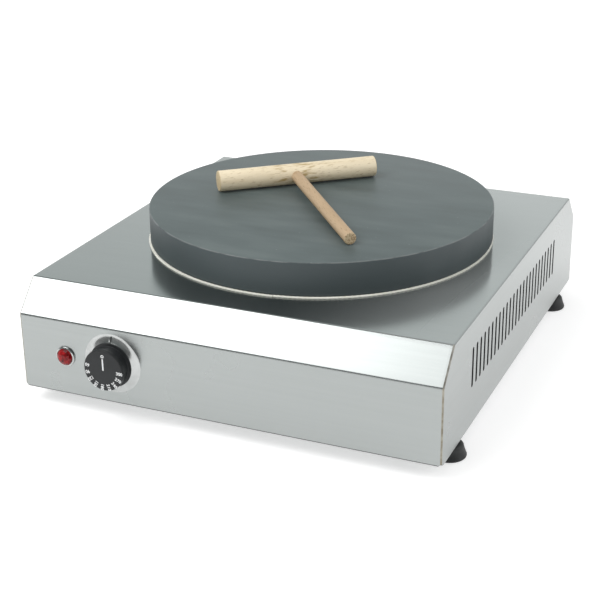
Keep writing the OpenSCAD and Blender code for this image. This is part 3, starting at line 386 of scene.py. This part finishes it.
# Casing: one hood of 1 mm stainless sheet with a horizontal brush, folded into front, shoulders, top and
# rear, with the sides bent down and welded at the corners. The lower edges fold under into flanges, the
# lower corners are ground round, and a thin film from use lies on the right of the top sheet. The slot
# walls are near black and the hem folds dark grey: both are painted shade.
casing_w, casing_d, casing_bottom, casing_top = 0.42, 0.462, 0.016, 0.1205
shoulder_fold, shoulder_run = 0.0913, 0.0265
fold_radius, hem_width, corner_radius, sheet = 0.0014, 0.018, 0.006, 0.001
half_w, half_d = casing_w / 2, casing_d / 2
slot_count, slot_pitch, slot_w, slot_h = 25, 0.01205, 0.005, 0.0395
slot_mid, slot_shift = 0.07425, -0.0028
dial_x, dial_z = -0.111, 0.0572
lamp_x, lamp_z = -0.1618, 0.0556
gland_x, gland_z = -0.112, 0.048
plate_y, plate_opening = 0.007, 0.15
bush_hole, lamp_hole, gland_hole = 0.0053, 0.0063, 0.0083
screw_hole, screw_side = 0.0023, 0.014
rim = 0.004
painted_wall_slot, painted_hem_slot, weld_index = 1, 2, 3

hood = bmesh.new()
outline = [
    (-half_d, casing_bottom), (-half_d, shoulder_fold), (shoulder_run - half_d, casing_top),
    (half_d - shoulder_run, casing_top), (half_d, shoulder_fold), (half_d, casing_bottom),
]
side_face = hood.faces.new([hood.verts.new((-half_w, y, z)) for y, z in outline])
pulled = bmesh.ops.extrude_face_region(hood, geom=[side_face])["geom"]
pulled_verts = [item for item in pulled if isinstance(item, bmesh.types.BMVert)]
bmesh.ops.translate(hood, verts=pulled_verts, vec=(casing_w, 0, 0))
bmesh.ops.recalc_face_normals(hood, faces=hood.faces)


def is_folded(edge):
    """True for edges of the plain hood that are folded, bent or welded: all but the sides' lower ones."""
    a, b = (v.co for v in edge.verts)
    return abs(a.x - b.x) > 0.1 or max(a.z, b.z) > casing_bottom + 1e-5


bmesh.ops.bevel(
    hood, geom=[e for e in hood.edges if is_folded(e)], offset=fold_radius, offset_type="OFFSET",
    segments=4, profile=0.5, affect="EDGES", material=-1, clamp_overlap=True,
)


def whole_hood(wanted=lambda face: True):
    """Faces of the hood that are wanted, with their edges and corners."""
    geom = set()
    for f in hood.faces:
        if wanted(f):
            geom.update([f, *f.edges, *f.verts])
    return list(geom)


def score(place, towards, wanted=lambda face: True):
    """Cuts the wanted faces of the hood along a plane, without parting them."""
    bmesh.ops.bisect_plane(hood, geom=whole_hood(wanted), plane_co=place, plane_no=towards)


for end in (-1, 1):
    for side in (-1, 1):
        for tilt in (radians(15), radians(35), radians(55), radians(75)):
            away = Vector((side * cos(tilt), end * cos(tilt), -sin(tilt)))
            touch_x = half_w - corner_radius * (1 - cos(tilt))
            touch_z = casing_bottom + corner_radius * (1 - sin(tilt))
            touch = Vector((side * touch_x, end * half_d, touch_z))
            score(touch, away)
            beyond = [f for f in hood.faces if (f.calc_center_median() - touch).dot(away) > 1e-7]
            bmesh.ops.delete(hood, geom=beyond, context="FACES")

# narrow rims beside the folds, which keep the shading of the panels flat
for end in (-1, 1):
    score((end * (half_w - rim), 0, 0), (1, 0, 0))
    score((0, end * (half_d - rim), 0), (0, 1, 0))
    score((0, end * (half_d - shoulder_run - rim), 0), (0, 1, 0))
score((0, 0, casing_bottom + rim), (0, 0, 1))
score((0, 0, shoulder_fold - rim), (0, 0, 1), lambda face: abs(face.normal.y) > 0.9)
score((0, 0, casing_top - rim), (0, 0, 1), lambda face: abs(face.normal.x) > 0.9)


def panel(normal):
    """Largest face of the hood that looks a given way."""
    looking = [f for f in hood.faces if f.normal.dot(Vector(normal)) > 0.999]
    return max(looking, key=lambda f: f.calc_area())


for cut_y in (hem_width - half_d, half_d - hem_width):
    score((0, cut_y, 0), (0, 1, 0), lambda face: face.normal.z < -0.999)
opening = [f for f in hood.faces if f.normal.z < -0.999 and abs(f.calc_center_median().y) < 0.1]
bmesh.ops.delete(hood, geom=opening, context="FACES_ONLY")


def hole_ring(place, towards, radius, sides, stretch=0.0):
    """Edges of a round hole in a panel, drawn out upright into a slot by a stretch."""
    turn = Vector((0, 0, 1)).rotation_difference(Vector(towards)).to_matrix().to_4x4()
    half_step = Matrix.Rotation(pi / sides, 4, "Z")
    ring = bmesh.ops.create_circle(
        hood, radius=radius, segments=sides, matrix=Matrix.Translation(place) @ turn @ half_step
    )["verts"]
    for v in ring:
        if stretch:
            v.co.z += stretch / 2 if v.co.z > place[2] else -stretch / 2
    return list({e for v in ring for e in v.link_edges})


def pierce(face, rings):
    """Cuts holes into a panel: the panel is filled again between its border and the rings."""
    border = list(face.edges)
    normal = face.normal.copy()
    bmesh.ops.delete(hood, geom=[face], context="FACES_ONLY")
    bmesh.ops.triangle_fill(
        hood, use_beauty=True, edges=border + [e for ring in rings for e in ring], normal=normal
    )


for side in (-1, 1):
    places = [(i - (slot_count - 1) / 2) * slot_pitch + slot_shift for i in range(slot_count)]
    pierce(panel((side, 0, 0)), [
        hole_ring((side * half_w, y, slot_mid), (side, 0, 0), slot_w / 2, 12, slot_h - slot_w)
        for y in places
    ])
pierce(panel((0, 0, 1)), [hole_ring((0, plate_y, casing_top), (0, 0, 1), plate_opening, 96)])
pierce(panel((0, -1, 0)), [
    hole_ring((dial_x, -half_d, dial_z), (0, -1, 0), bush_hole, 24),
    hole_ring((dial_x - screw_side, -half_d, dial_z), (0, -1, 0), screw_hole, 16),
    hole_ring((dial_x + screw_side, -half_d, dial_z), (0, -1, 0), screw_hole, 16),
    hole_ring((lamp_x, -half_d, lamp_z), (0, -1, 0), lamp_hole, 24),
])
pierce(panel((0, 1, 0)), [hole_ring((gland_x, half_d, gland_z), (0, 1, 0), gland_hole, 32)])
bmesh.ops.recalc_face_normals(hood, faces=hood.faces)
grain = hood.loops.layers.uv.new("grain")
for f in hood.faces:
    for loop in f.loops:
        x, y, z = loop.vert.co
        loop[grain].uv = (y, z) if abs(f.normal.x) > 0.7 else (x, y + z)
bmesh.ops.solidify(hood, geom=hood.faces[:], thickness=sheet)
hood.normal_update()
for f in hood.faces:
    spot = f.calc_center_median()
    # slot walls and cut edges of the side panels: near-black painted shade
    if abs(f.normal.x) < 0.5 and abs(abs(spot.x) - half_w + sheet / 2) < sheet / 4:
        f.material_index = painted_wall_slot
    # underside of the front and rear hem folds: dark painted shade
    at_hem = abs(spot.y) > half_d - rim and spot.z < casing_bottom + fold_radius
    if at_hem and abs(f.normal.x) < 0.3 and -0.95 < f.normal.z < -0.1:
        f.material_index = painted_hem_slot
    if 0.1 < abs(f.normal.x) < 0.99 and abs(f.normal.y) > 0.1 and abs(spot.x) > half_w - fold_radius:
        f.material_index = weld_index

brushed_steel, tree, shader = blank_finish("brushed_steel")
grain_map = tree.nodes.new("ShaderNodeUVMap")
grain_map.uv_map = "grain"
brush = add_noise(tree, grain_map.outputs["UV"], 1.0, (14, 1500, 1), detail=3.0)
long_brush = add_noise(tree, grain_map.outputs["UV"], 1.0, (3, 260, 1), detail=2.0)
smear = add_noise(tree, object_coords(tree), 9.0, detail=3.0)
tree.links.new(
    add_ramp(tree, long_brush, [(0.25, (0.382, 0.404, 0.398)), (0.75, (0.397, 0.419, 0.413))]),
    shader.inputs["Base Color"],
)
facing = tree.nodes.new("ShaderNodeNewGeometry")
upwards = split_axes(tree, facing.outputs["Normal"])["Z"]
duller_walls = add_span(tree, upwards, 0.5, 0.2, to_high=0.13)
worn = add_math(tree, "ADD", add_range(tree, smear, 0.13, 0.17), duller_walls)
tree.links.new(worn, shader.inputs["Roughness"])
spot = split_axes(tree, object_coords(tree))
film_start, film_most = 0.02, 0.36
film = add_span(tree, spot["X"], film_start, half_w, to_high=film_most, easing="SMOOTHSTEP")
on_top = add_span(tree, spot["Z"], casing_top - 3 * sheet, casing_top - sheet)
bare = add_math(tree, "SUBTRACT", 1.0, add_product(tree, film, on_top))
tree.links.new(bare, shader.inputs["Metallic"])
shader.inputs["Anisotropic"].default_value = 0.75
shader.inputs["Anisotropic Rotation"].default_value = 0.25
grain_way = tree.nodes.new("ShaderNodeTangent")
grain_way.direction_type = "UV_MAP"
grain_way.uv_map = "grain"
tree.links.new(grain_way.outputs[0], shader.inputs["Tangent"])
add_bump(tree, shader, brush, 0.000004, 0.5)
casing = make_piece("folded_casing", hood, brushed_steel, "appliance", sharp=30)
# Near-black painted shade for the slot walls, standing in for the dark inside of the casing seen through
# them.
slot_wall_painted_shade = mottled(
    "slot_wall_painted_shade", (0.012, 0.013, 0.013), (0.03, 0.031, 0.03), scale=300, rough=(0.6, 0.75)
)
casing.data.materials.append(slot_wall_painted_shade)
# Dark painted shade for the hem folds, in place of the shadowed table that they reflect.
hem_painted_shade = mottled(
    "hem_painted_shade", (0.08, 0.082, 0.08), (0.13, 0.132, 0.13), scale=200, rough=(0.3, 0.42), metallic=1.0
)
casing.data.materials.append(hem_painted_shade)
weights = casing.modifiers.new("flat_panels", "WEIGHTED_NORMAL")
weights.keep_sharp = True
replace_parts(casing, "casing")

# Corner welds: the ends of the front and rear strips are welded to the sides and ground, which leaves a
# narrow straw-coloured line down each upright corner and along each end of the shoulders.


def add_mix(tree, share, first, second):
    """Colour between a socket and another socket or fixed colour, by a share socket."""
    mix = tree.nodes.new("ShaderNodeMix")
    mix.data_type = "RGBA"
    tree.links.new(share, mix.inputs[0])
    tree.links.new(first, mix.inputs[6])
    if isinstance(second, tuple):
        mix.inputs[7].default_value = (*second, 1)
    else:
        tree.links.new(second, mix.inputs[7])
    return mix.outputs[2]


weld_tint, tree, shader = blank_finish("weld_tint")
coords = object_coords(tree)
tint = add_noise(tree, coords, 130)
upright = add_ramp(tree, tint, [(0.35, (0.23, 0.205, 0.15)), (0.65, (0.48, 0.455, 0.38))])
sloped = add_ramp(tree, tint, [(0.35, (0.2, 0.19, 0.165)), (0.65, (0.38, 0.37, 0.33))])
on_slope = add_math(tree, "GREATER_THAN", split_axes(tree, coords)["Z"], shoulder_fold)
tree.links.new(add_mix(tree, on_slope, upright, sloped), shader.inputs["Base Color"])
tree.links.new(add_range(tree, tint, 0.5, 0.7), shader.inputs["Roughness"])
shader.inputs["Metallic"].default_value = 0.3
add_bump(tree, shader, add_noise(tree, coords, 900), 0.00005)
casing.data.materials.append(weld_tint)

# Cooking plate: a cast-iron disc, turned on top and at its side, hollow below for the heating rings.
# Its seasoned skin is slate grey with cloudy patches and faint turning rings, and its side is a darker
# painted shade. A light line along the top edge is partly rubbed wear, partly painted highlight.
plate_skin, tree, shader = blank_finish("plate_skin")
coords = object_coords(tree)
centred = tree.nodes.new("ShaderNodeMapping")
centred.inputs["Location"].default_value = (0, -plate_y, 0)
tree.links.new(coords, centred.inputs["Vector"])
flat_part = tree.nodes.new("ShaderNodeVectorMath")
flat_part.operation = "MULTIPLY"
flat_part.inputs[1].default_value = (1, 1, 0)
tree.links.new(centred.outputs[0], flat_part.inputs[0])
from_middle = tree.nodes.new("ShaderNodeVectorMath")
from_middle.operation = "LENGTH"
tree.links.new(flat_part.outputs[0], from_middle.inputs[0])
reach = from_middle.outputs["Value"]
height = split_axes(tree, coords)["Z"]
ring_place = tree.nodes.new("ShaderNodeCombineXYZ")
tree.links.new(reach, ring_place.inputs["X"])
tree.links.new(height, ring_place.inputs["Y"])
turning = add_noise(tree, ring_place.outputs[0], 1100, detail=2.0)
clouds = add_noise(tree, coords, 1.0, (13, 42, 30), detail=8.0)
pores = add_noise(tree, coords, 700, detail=2.0)
plate_tone = add_ramp(tree, clouds, [
    (0.3, (0.072, 0.096, 0.096)), (0.5, (0.094, 0.122, 0.122)), (0.7, (0.12, 0.15, 0.148)),
])


def add_step(tree, source, low, high):
    """Socket that climbs from 0 to 1 between two values of another."""
    return add_span(tree, source, low, high, easing="SMOOTHSTEP")


plate_r, plate_top = 0.174, 0.155
scuffs = add_step(tree, add_noise(tree, coords, 60, detail=5.0), 0.3, 0.6)
# light line along the top edge: rubbed wear broken up by scuffs, and partly a painted highlight
edge_wear_and_highlight = add_product(
    tree, add_step(tree, reach, plate_r - 0.0011, plate_r - 0.0006),
    add_step(tree, height, plate_top - 0.0011, plate_top - 0.0005), scuffs,
)
flecks = add_step(tree, add_noise(tree, coords, 420, detail=1.0), 0.775, 0.8)
# the side takes a darker tone than the top: painted shade
side_painted_shade = add_step(tree, reach, plate_r - 0.0005, plate_r - 0.0001)
top_tone = add_mix(tree, flecks, plate_tone, (0.26, 0.28, 0.27))
side_tone = add_mix(tree, side_painted_shade, top_tone, (0.056, 0.074, 0.078))
tree.links.new(add_mix(tree, edge_wear_and_highlight, side_tone, (0.17, 0.19, 0.19)), shader.inputs["Base Color"])
tree.links.new(add_range(tree, clouds, 0.44, 0.54), shader.inputs["Roughness"])
shader.inputs["Specular IOR Level"].default_value = 0.55
rings_relief = add_bump(tree, shader, turning, 0.00003, 0.6)
add_bump(tree, shader, pores, 0.00005, 0.5, below=rings_relief)
plate_bm = turned([
    (0, 155, 0), (174, 155, 0.9), (174, 122, 0.9), (162, 122, 0.8), (162, 143, 2), (0, 143, 0),
], steps=192)
bmesh.ops.translate(plate_bm, verts=plate_bm.verts, vec=(0, plate_y, 0))
plate = make_piece("turned_plate", plate_bm, plate_skin, "appliance")
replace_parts(plate, "cooking_plate")

# Rope seal: a braided glass-fibre rope under the plate's edge, white to cream, pressed flat on the top
# sheet and pushed a little forward. Its ends meet at the front, where the left one stands out a little.
rope_ring, rope_y, rope_z = 0.1735, plate_y - 0.0013, 0.1211
slit_angle, slit_half = -82, 0.13
rope_start, rope_sweep = radians(slit_angle + slit_half), radians(360 - 2 * slit_half)
braid_turns, braid_steps, yarn_radius, yarn_orbit = 240, 7, 0.00026, 0.00062
core_radius, core_steps = 0.00065, 240
rope_spread, squareness = 2.1, 0.8
loose_share, loose_step = 0.025, 0.0006
yarns = bpy.data.curves.new("rope_yarns", "CURVE")
yarns.dimensions = "3D"
yarns.bevel_depth = yarn_radius
yarns.bevel_resolution = 0
yarns.use_fill_caps = True
count = braid_turns * braid_steps
for hand in (-1, 1):
    for k in range(4):
        yarn = yarns.splines.new("POLY")
        yarn.points.add(count)
        for i, point in enumerate(yarn.points):
            share = i / count
            twist = hand * 2 * pi * braid_turns * share + k * pi / 2 + (hand + 1) * pi / 8
            angle = rope_start + rope_sweep * share
            loose = loose_step * max(0, 1 - (1 - share) / loose_share)
            widest = max(abs(cos(twist)), abs(sin(twist))) ** squareness
            reach = rope_ring + loose + rope_spread * yarn_orbit * cos(twist) / widest
            height = rope_z + yarn_orbit * sin(twist) / widest
            point.co = (reach * cos(angle), rope_y + reach * sin(angle), height, 1)
yarn_object = bpy.data.objects.new("rope_yarns", yarns)
scene.collection.objects.link(yarn_object)
bpy.context.view_layer.update()
yarn_mesh = bpy.data.meshes.new_from_object(yarn_object)
bpy.data.objects.remove(yarn_object)
rope_bm = bmesh.new()
core_start = (
    Matrix.Rotation(rope_start, 4, "Z") @ Matrix.Translation((rope_ring, 0, rope_z))
    @ Matrix.Rotation(pi / 2, 4, "X")
)
core_verts = bmesh.ops.create_circle(
    rope_bm, cap_ends=True, radius=core_radius, segments=8, matrix=core_start
)["verts"]
core_cap = core_verts[0].link_faces[0]
bmesh.ops.spin(
    rope_bm, geom=[core_cap, *core_cap.edges, *core_cap.verts], cent=(0, 0, 0), axis=(0, 0, 1),
    angle=rope_sweep, steps=core_steps,
)
bmesh.ops.translate(rope_bm, verts=rope_bm.verts, vec=(0, rope_y, 0))
rope_bm.from_mesh(yarn_mesh)
bmesh.ops.recalc_face_normals(rope_bm, faces=rope_bm.faces)
rope_yarn = mottled(
    "rope_yarn", (0.89, 0.89, 0.8), (0.97, 0.97, 0.91), scale=260, rough=(0.8, 0.95), relief=0.0001
)
rope = make_piece("braided_rope", rope_bm, rope_yarn, "appliance", sharp=60)
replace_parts(rope, "rope_seal")

# Dial bezel: a low pressed ring of chromed steel that rises towards the knob in a hollow curve, with a
# thin back that the thermostat's screws hold against the front panel. A small pip marks the setting.
chrome, tree, shader = blank_finish("chrome")
coords = object_coords(tree)
haze = add_noise(tree, coords, 140)
tree.links.new(
    add_ramp(tree, haze, [(0.3, (0.42, 0.433, 0.428)), (0.7, (0.51, 0.523, 0.518))]),
    shader.inputs["Base Color"],
)
tree.links.new(add_range(tree, haze, 0.12, 0.2), shader.inputs["Roughness"])
shader.inputs["Metallic"].default_value = 1.0


def out_of_front(x, z):
    """Places a piece made along +Z so that it points out of the front panel."""
    return Matrix.Translation((x, -half_d, z)) @ Matrix.Rotation(pi / 2, 4, "X")


bezel_edge, bezel_bore, bezel_rise, bezel_back = 29.5, 21.5, 3.0, 1.2
bush_bore, hollowness, curve_steps = 5.3, 1.8, 10
bezel_curve = []
for i in range(curve_steps + 1):
    share = i / curve_steps
    radius = bezel_edge + share * (bezel_bore - bezel_edge)
    bezel_curve.append((radius, bezel_rise * share ** hollowness, 0))
bezel_bm = turned([
    (bush_bore, 0, 0), *bezel_curve, (bezel_bore, bezel_back, 0), (bush_bore, bezel_back, 0),
], steps=96, closed=True)
bmesh.ops.transform(bezel_bm, matrix=out_of_front(dial_x, dial_z), verts=bezel_bm.verts)
bezel = make_piece("chrome_bezel", bezel_bm, chrome, "appliance")
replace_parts(bezel, "dial_bezel")
pip_w, pip_l, pip_h, pip_edge = 0.0014, 0.0052, 0.001, 0.0004
pip_reach, pip_lift, pip_slope = 0.0252, 0.0023, radians(-18)
pip_bm = bmesh.new()
bmesh.ops.create_cube(pip_bm, size=1, matrix=Matrix.Diagonal((pip_w, pip_l, pip_h, 1)))
bmesh.ops.bevel(
    pip_bm, geom=pip_bm.edges[:], offset=pip_edge, offset_type="OFFSET", segments=2, profile=0.5,
    affect="EDGES", material=-1,
)
lean = Matrix.Translation((0, pip_reach, pip_lift)) @ Matrix.Rotation(pip_slope, 4, "X")
bmesh.ops.transform(pip_bm, matrix=out_of_front(dial_x, dial_z) @ lean, verts=pip_bm.verts)
make_piece("bezel_pip", pip_bm, chrome, "appliance")

# Control knob: moulded black plastic, a round dial face on a narrower skirt with a flange at its foot
# that closes the ring. It is pushed onto the flat of the thermostat shaft and turns with it.
knob_plastic = mottled(
    "knob_plastic", (0.015, 0.017, 0.018), (0.022, 0.024, 0.026),
    scale=90, rough=(0.38, 0.5), relief=0.00002
)
knob_plastic.node_tree.nodes["Principled BSDF"].inputs["Specular IOR Level"].default_value = 0.35
knob_bm = turned([
    (0, 17.3, 0), (20.4, 17.3, 1.1), (20.4, 13.3, 0.8), (19, 12.8, 0.4), (19, 4.5, 0.6), (22, 4.3, 0.3),
    (22, 3.3, 0.3), (0, 3.3, 0),
], steps=96)
bmesh.ops.transform(knob_bm, matrix=out_of_front(dial_x, dial_z), verts=knob_bm.verts)
knob = make_piece("moulded_knob", knob_bm, knob_plastic, "dial")
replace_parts(knob, "control_knob")

# Dial print: plain degree numbers from 60 to 300 round the lower half of the face, a small ring at the
# top and a pointer line from the middle towards it, pad-printed in white.
print_ink = mottled("print_ink", (0.82, 0.84, 0.84), (0.92, 0.93, 0.93), scale=400, rough=(0.5, 0.65))
print_bm = bmesh.new()
print_lift = 0.01736
number_count, first_number, number_step = 9, 60, 30
first_heading, heading_step = 90 + 78, 23.75
number_size, number_swell, number_ring = 0.0045, 0.00013, 0.0169
nought_reach, nought_inner, nought_outer = 0.0143, 0.0008, 0.0016
line_reach, line_half_w, line_half_l = 0.006, 0.00072, 0.0058


def print_text(words, size, swell, place):
    """Adds the flat outline of some printed characters, swollen a little, at a place on the dial."""
    letters = bpy.data.curves.new("print_letters", "FONT")
    letters.body = words
    letters.size = size
    letters.align_x = "CENTER"
    letters.align_y = "CENTER"
    letters.offset = swell
    letters.resolution_u = 3
    holder = bpy.data.objects.new("print_letters", letters)
    scene.collection.objects.link(holder)
    bpy.context.view_layer.update()
    flat_mesh = bpy.data.meshes.new_from_object(holder)
    bpy.data.objects.remove(holder)
    flat_mesh.transform(place)
    print_bm.from_mesh(flat_mesh)


for i in range(number_count):
    turn = Matrix.Rotation(radians(first_heading + heading_step * i), 4, "Z")
    place = turn @ Matrix.Translation((number_ring, 0, print_lift))
    print_text(str(first_number + number_step * i), number_size, number_swell, place)
nought = [
    bmesh.ops.create_circle(
        print_bm, radius=r, segments=24, matrix=Matrix.Translation((0, nought_reach, print_lift))
    )["verts"] for r in (nought_inner, nought_outer)
]
bmesh.ops.bridge_loops(print_bm, edges=list({e for ring in nought for v in ring for e in v.link_edges}))
line_size = Matrix.Diagonal((line_half_w, line_half_l, 1, 1))
line_place = Matrix.Translation((0, line_reach, print_lift)) @ line_size
bmesh.ops.create_grid(print_bm, x_segments=1, y_segments=1, size=1, matrix=line_place)
bmesh.ops.transform(print_bm, matrix=out_of_front(dial_x, dial_z), verts=print_bm.verts)
make_piece("dial_print", print_bm, print_ink, "dial")

# Pilot lamp: a red moulded lens with flat facets, set in a small chromed ring on the front panel.
# Both sit on the lamp's black holder, which a nut holds from behind the panel.
ring_bm = turned([(8.5, 0, 0), (10, 0, 0), (10, 1.6, 0.5), (8.5, 2.1, 0)], steps=64, closed=True)
bmesh.ops.transform(ring_bm, matrix=out_of_front(lamp_x, lamp_z), verts=ring_bm.verts)
lamp_ring = make_piece("lamp_ring", ring_bm, chrome, "appliance")
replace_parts(lamp_ring, "pilot_bezel")
lens_red, tree, shader = blank_finish("lens_red")
coords = object_coords(tree)
depth_tone = add_noise(tree, coords, 240)
tree.links.new(
    add_ramp(tree, depth_tone, [(0.35, (0.07, 0.002, 0.003)), (0.65, (0.42, 0.012, 0.014))]),
    shader.inputs["Base Color"],
)
tree.links.new(add_range(tree, depth_tone, 0.1, 0.2), shader.inputs["Roughness"])
shader.inputs["Specular IOR Level"].default_value = 0.3
lens_bm = turned([
    (0, 0, 0), (8.3, 0, 0), (8.3, 2.3, 0), (6.6, 4.7, 0), (3.7, 6.4, 0), (0, 6.9, 0),
], steps=12)
bmesh.ops.transform(lens_bm, matrix=out_of_front(lamp_x, lamp_z), verts=lens_bm.verts)
lens = make_piece("faceted_lens", lens_bm, lens_red, "appliance", sharp=5)
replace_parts(lens, "pilot_lens")

# Cable gland: body with a hexagon, rubber seal and screwed cap of black nylon in the rear panel.
# The hexagons have softened edges, and the cap ends in a round nose with the cord's mouth.


def pierced_prism(sides, outer_r, bore_r, z0, z1, edge):
    """Prism with some sides and a round bore along Z, its outer edges eased. Millimetres."""
    bm = bmesh.new()
    bmesh.ops.create_circle(bm, radius=outer_r / 1000, segments=sides)
    bmesh.ops.create_circle(bm, radius=bore_r / 1000, segments=32)
    bmesh.ops.triangle_fill(bm, use_beauty=True, edges=bm.edges[:], normal=(0, 0, 1))
    bmesh.ops.translate(bm, verts=bm.verts, vec=(0, 0, z0 / 1000))
    grown = bmesh.ops.extrude_face_region(bm, geom=bm.faces[:])["geom"]
    moved = [item for item in grown if isinstance(item, bmesh.types.BMVert)]
    bmesh.ops.translate(bm, verts=moved, vec=(0, 0, (z1 - z0) / 1000))
    bmesh.ops.recalc_face_normals(bm, faces=bm.faces)
    far = [e for e in bm.edges if all(v.co.xy.length > 0.8 * outer_r / 1000 for v in e.verts)]
    bmesh.ops.bevel(
        bm, geom=[e for e in far if e.calc_face_angle(0) > 0.5], offset=edge / 1000, offset_type="OFFSET",
        segments=2, profile=0.5, affect="EDGES", material=-1,
    )
    return bm


def out_of_rear(x, z):
    """Places a piece made along +Z so that it points out of the rear panel."""
    return Matrix.Translation((x, half_d, z)) @ Matrix.Rotation(-pi / 2, 4, "X")


def join_shapes(*shapes):
    """One mesh of several shapes."""
    whole = bmesh.new()
    for shape in shapes:
        part = bpy.data.meshes.new("gland_shape")
        shape.to_mesh(part)
        shape.free()
        whole.from_mesh(part)
        bpy.data.meshes.remove(part)
    return whole


gland_body_bm = join_shapes(
    pierced_prism(6, 12.7, 8, 0, 5, 0.6),
    turned([(5.4, -11, 0.3), (8, -11, 0.5), (8, 14, 0.4), (5.4, 14, 0.3)], steps=48, closed=True),
)
gland_cap_bm = join_shapes(
    pierced_prism(6, 11.7, 8.05, 5.2, 14, 0.6),
    turned([(5.8, 16, 0), (5.8, 18.5, 0.6), (9.6, 18.5, 1.5), (9.6, 14, 0), (8.05, 14, 0), (8.05, 16, 0)],
           steps=48, closed=True),
)
gland_seal_bm = turned([
    (4.2, 2, 0.3), (5.35, 2, 0.3), (5.35, 14, 0), (7.95, 14, 0), (7.95, 16, 0.2), (4.2, 16, 0.6),
], steps=48, closed=True)
for shape, name, node_name, finish, slot in (
    (gland_body_bm, "gland_hexagon", "gland_body", black_moulding, "black_plastic"),
    (gland_cap_bm, "gland_nose_cap", "gland_cap", black_moulding, "black_plastic"),
    (gland_seal_bm, "gland_rubber", "gland_seal", foot_rubber, "black_rubber"),
):
    bmesh.ops.transform(shape, matrix=out_of_rear(gland_x, gland_z), verts=shape.verts)
    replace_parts(make_piece(name, shape, finish, "appliance"), node_name)

# Batter spreader: a turned beech bar with a thinner handle glued into its middle, lying loose on the
# plate. The bar is pale with soft streaks and small knots; the handle is pinker with fine flecks.
bar_turn = radians(39.4)
bar_middle = Vector((-0.044, 0.047, 0.16605))
bar_half, handle_reach, handle_side = 0.08475, 0.1905, -0.0027
handle_dip = asin(0.00475 / handle_reach)


def beech(name, place, turn, pale, mid, deep, fleck, end_x, end_tone, stain=None):
    """Wood along a piece's length: streaks, soft year rings, flecks, end grain and stains mid-way."""
    material, tree, shader = blank_finish(name)
    own = tree.nodes.new("ShaderNodeMapping")
    own.vector_type = "TEXTURE"
    own.inputs["Location"].default_value = place
    own.inputs["Rotation"].default_value = turn
    tree.links.new(object_coords(tree), own.inputs["Vector"])
    streak = add_noise(tree, own.outputs[0], 1.0, (9, 190, 190), detail=5.0)
    band = add_noise(tree, own.outputs[0], 1.0, (5, 55, 55), detail=3.0)
    dash = add_noise(tree, own.outputs[0], 1.0, (150, 1200, 1200), detail=1.0)
    both = tree.nodes.new("ShaderNodeMix")
    both.data_type = "FLOAT"
    both.inputs[0].default_value = 0.5
    tree.links.new(streak, both.inputs[2])
    tree.links.new(band, both.inputs[3])
    wood = add_ramp(tree, both.outputs[0], [(0.33, deep), (0.48, mid), (0.66, pale)])
    fleck_mask = add_ramp(tree, dash, [(0.6, (0, 0, 0)), (0.72, (1, 1, 1))])
    wood = add_mix(tree, fleck_mask, wood, fleck)
    from_root = add_math(tree, "ABSOLUTE", split_axes(tree, own.outputs[0])["X"])
    if stain:
        blot = add_step(tree, add_noise(tree, own.outputs[0], 1.0, (70, 330, 330), detail=4.0), 0.5, 0.68)
        near_root = add_step(tree, from_root, 0.04, 0.016)
        wood = add_mix(tree, add_product(tree, blot, near_root), wood, stain)
    at_end = add_step(tree, from_root, end_x - 0.0009, end_x - 0.0004)
    wood = add_mix(tree, at_end, wood, end_tone)
    end_pores = add_step(tree, add_noise(tree, own.outputs[0], 600, detail=2.0), 0.45, 0.62)
    wood = add_mix(tree, add_product(tree, at_end, end_pores), wood, fleck)
    tree.links.new(wood, shader.inputs["Base Color"])
    tree.links.new(add_range(tree, streak, 0.5, 0.68), shader.inputs["Roughness"])
    add_bump(tree, shader, dash, 0.00006, 0.6)
    return material


bar_wood = beech(
    "bar_wood", bar_middle, (0, 0, bar_turn), (0.9, 0.79, 0.58), (0.83, 0.715, 0.51), (0.72, 0.585, 0.39),
    (0.57, 0.45, 0.28), bar_half, (0.64, 0.52, 0.31), stain=(0.48, 0.35, 0.16),
)
bar_bm = turned([(0, -84.75, 0), (10.75, -84.75, 1.2), (10.75, 84.75, 1.2), (0, 84.75, 0)], steps=72)
bar_place = (
    Matrix.Translation(bar_middle) @ Matrix.Rotation(bar_turn, 4, "Z") @ Matrix.Rotation(pi / 2, 4, "Y")
)
bmesh.ops.transform(bar_bm, matrix=bar_place, verts=bar_bm.verts)
bar = make_piece("beech_bar", bar_bm, bar_wood, "spreader")
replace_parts(bar, "spreader_bar")
handle_turn = bar_turn - pi / 2
handle_root = bar_middle + handle_side * Vector((cos(bar_turn), sin(bar_turn), 0))
handle_wood = beech(
    "handle_wood", handle_root, (0, handle_dip, handle_turn), (0.57, 0.42, 0.265), (0.51, 0.365, 0.22),
    (0.43, 0.3, 0.175), (0.38, 0.26, 0.15), handle_reach, (0.6, 0.48, 0.3),
)
handle_bm = turned([(0, 8, 0), (6, 8, 0), (6, 190.5, 1), (0, 190.5, 0)], steps=48)
handle_place = (
    Matrix.Translation(handle_root) @ Matrix.Rotation(handle_turn, 4, "Z")
    @ Matrix.Rotation(pi / 2 + handle_dip, 4, "Y")
)
bmesh.ops.transform(handle_bm, matrix=handle_place, verts=handle_bm.verts)
handle = make_piece("beech_handle", handle_bm, handle_wood, "spreader")
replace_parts(handle, "spreader_handle")
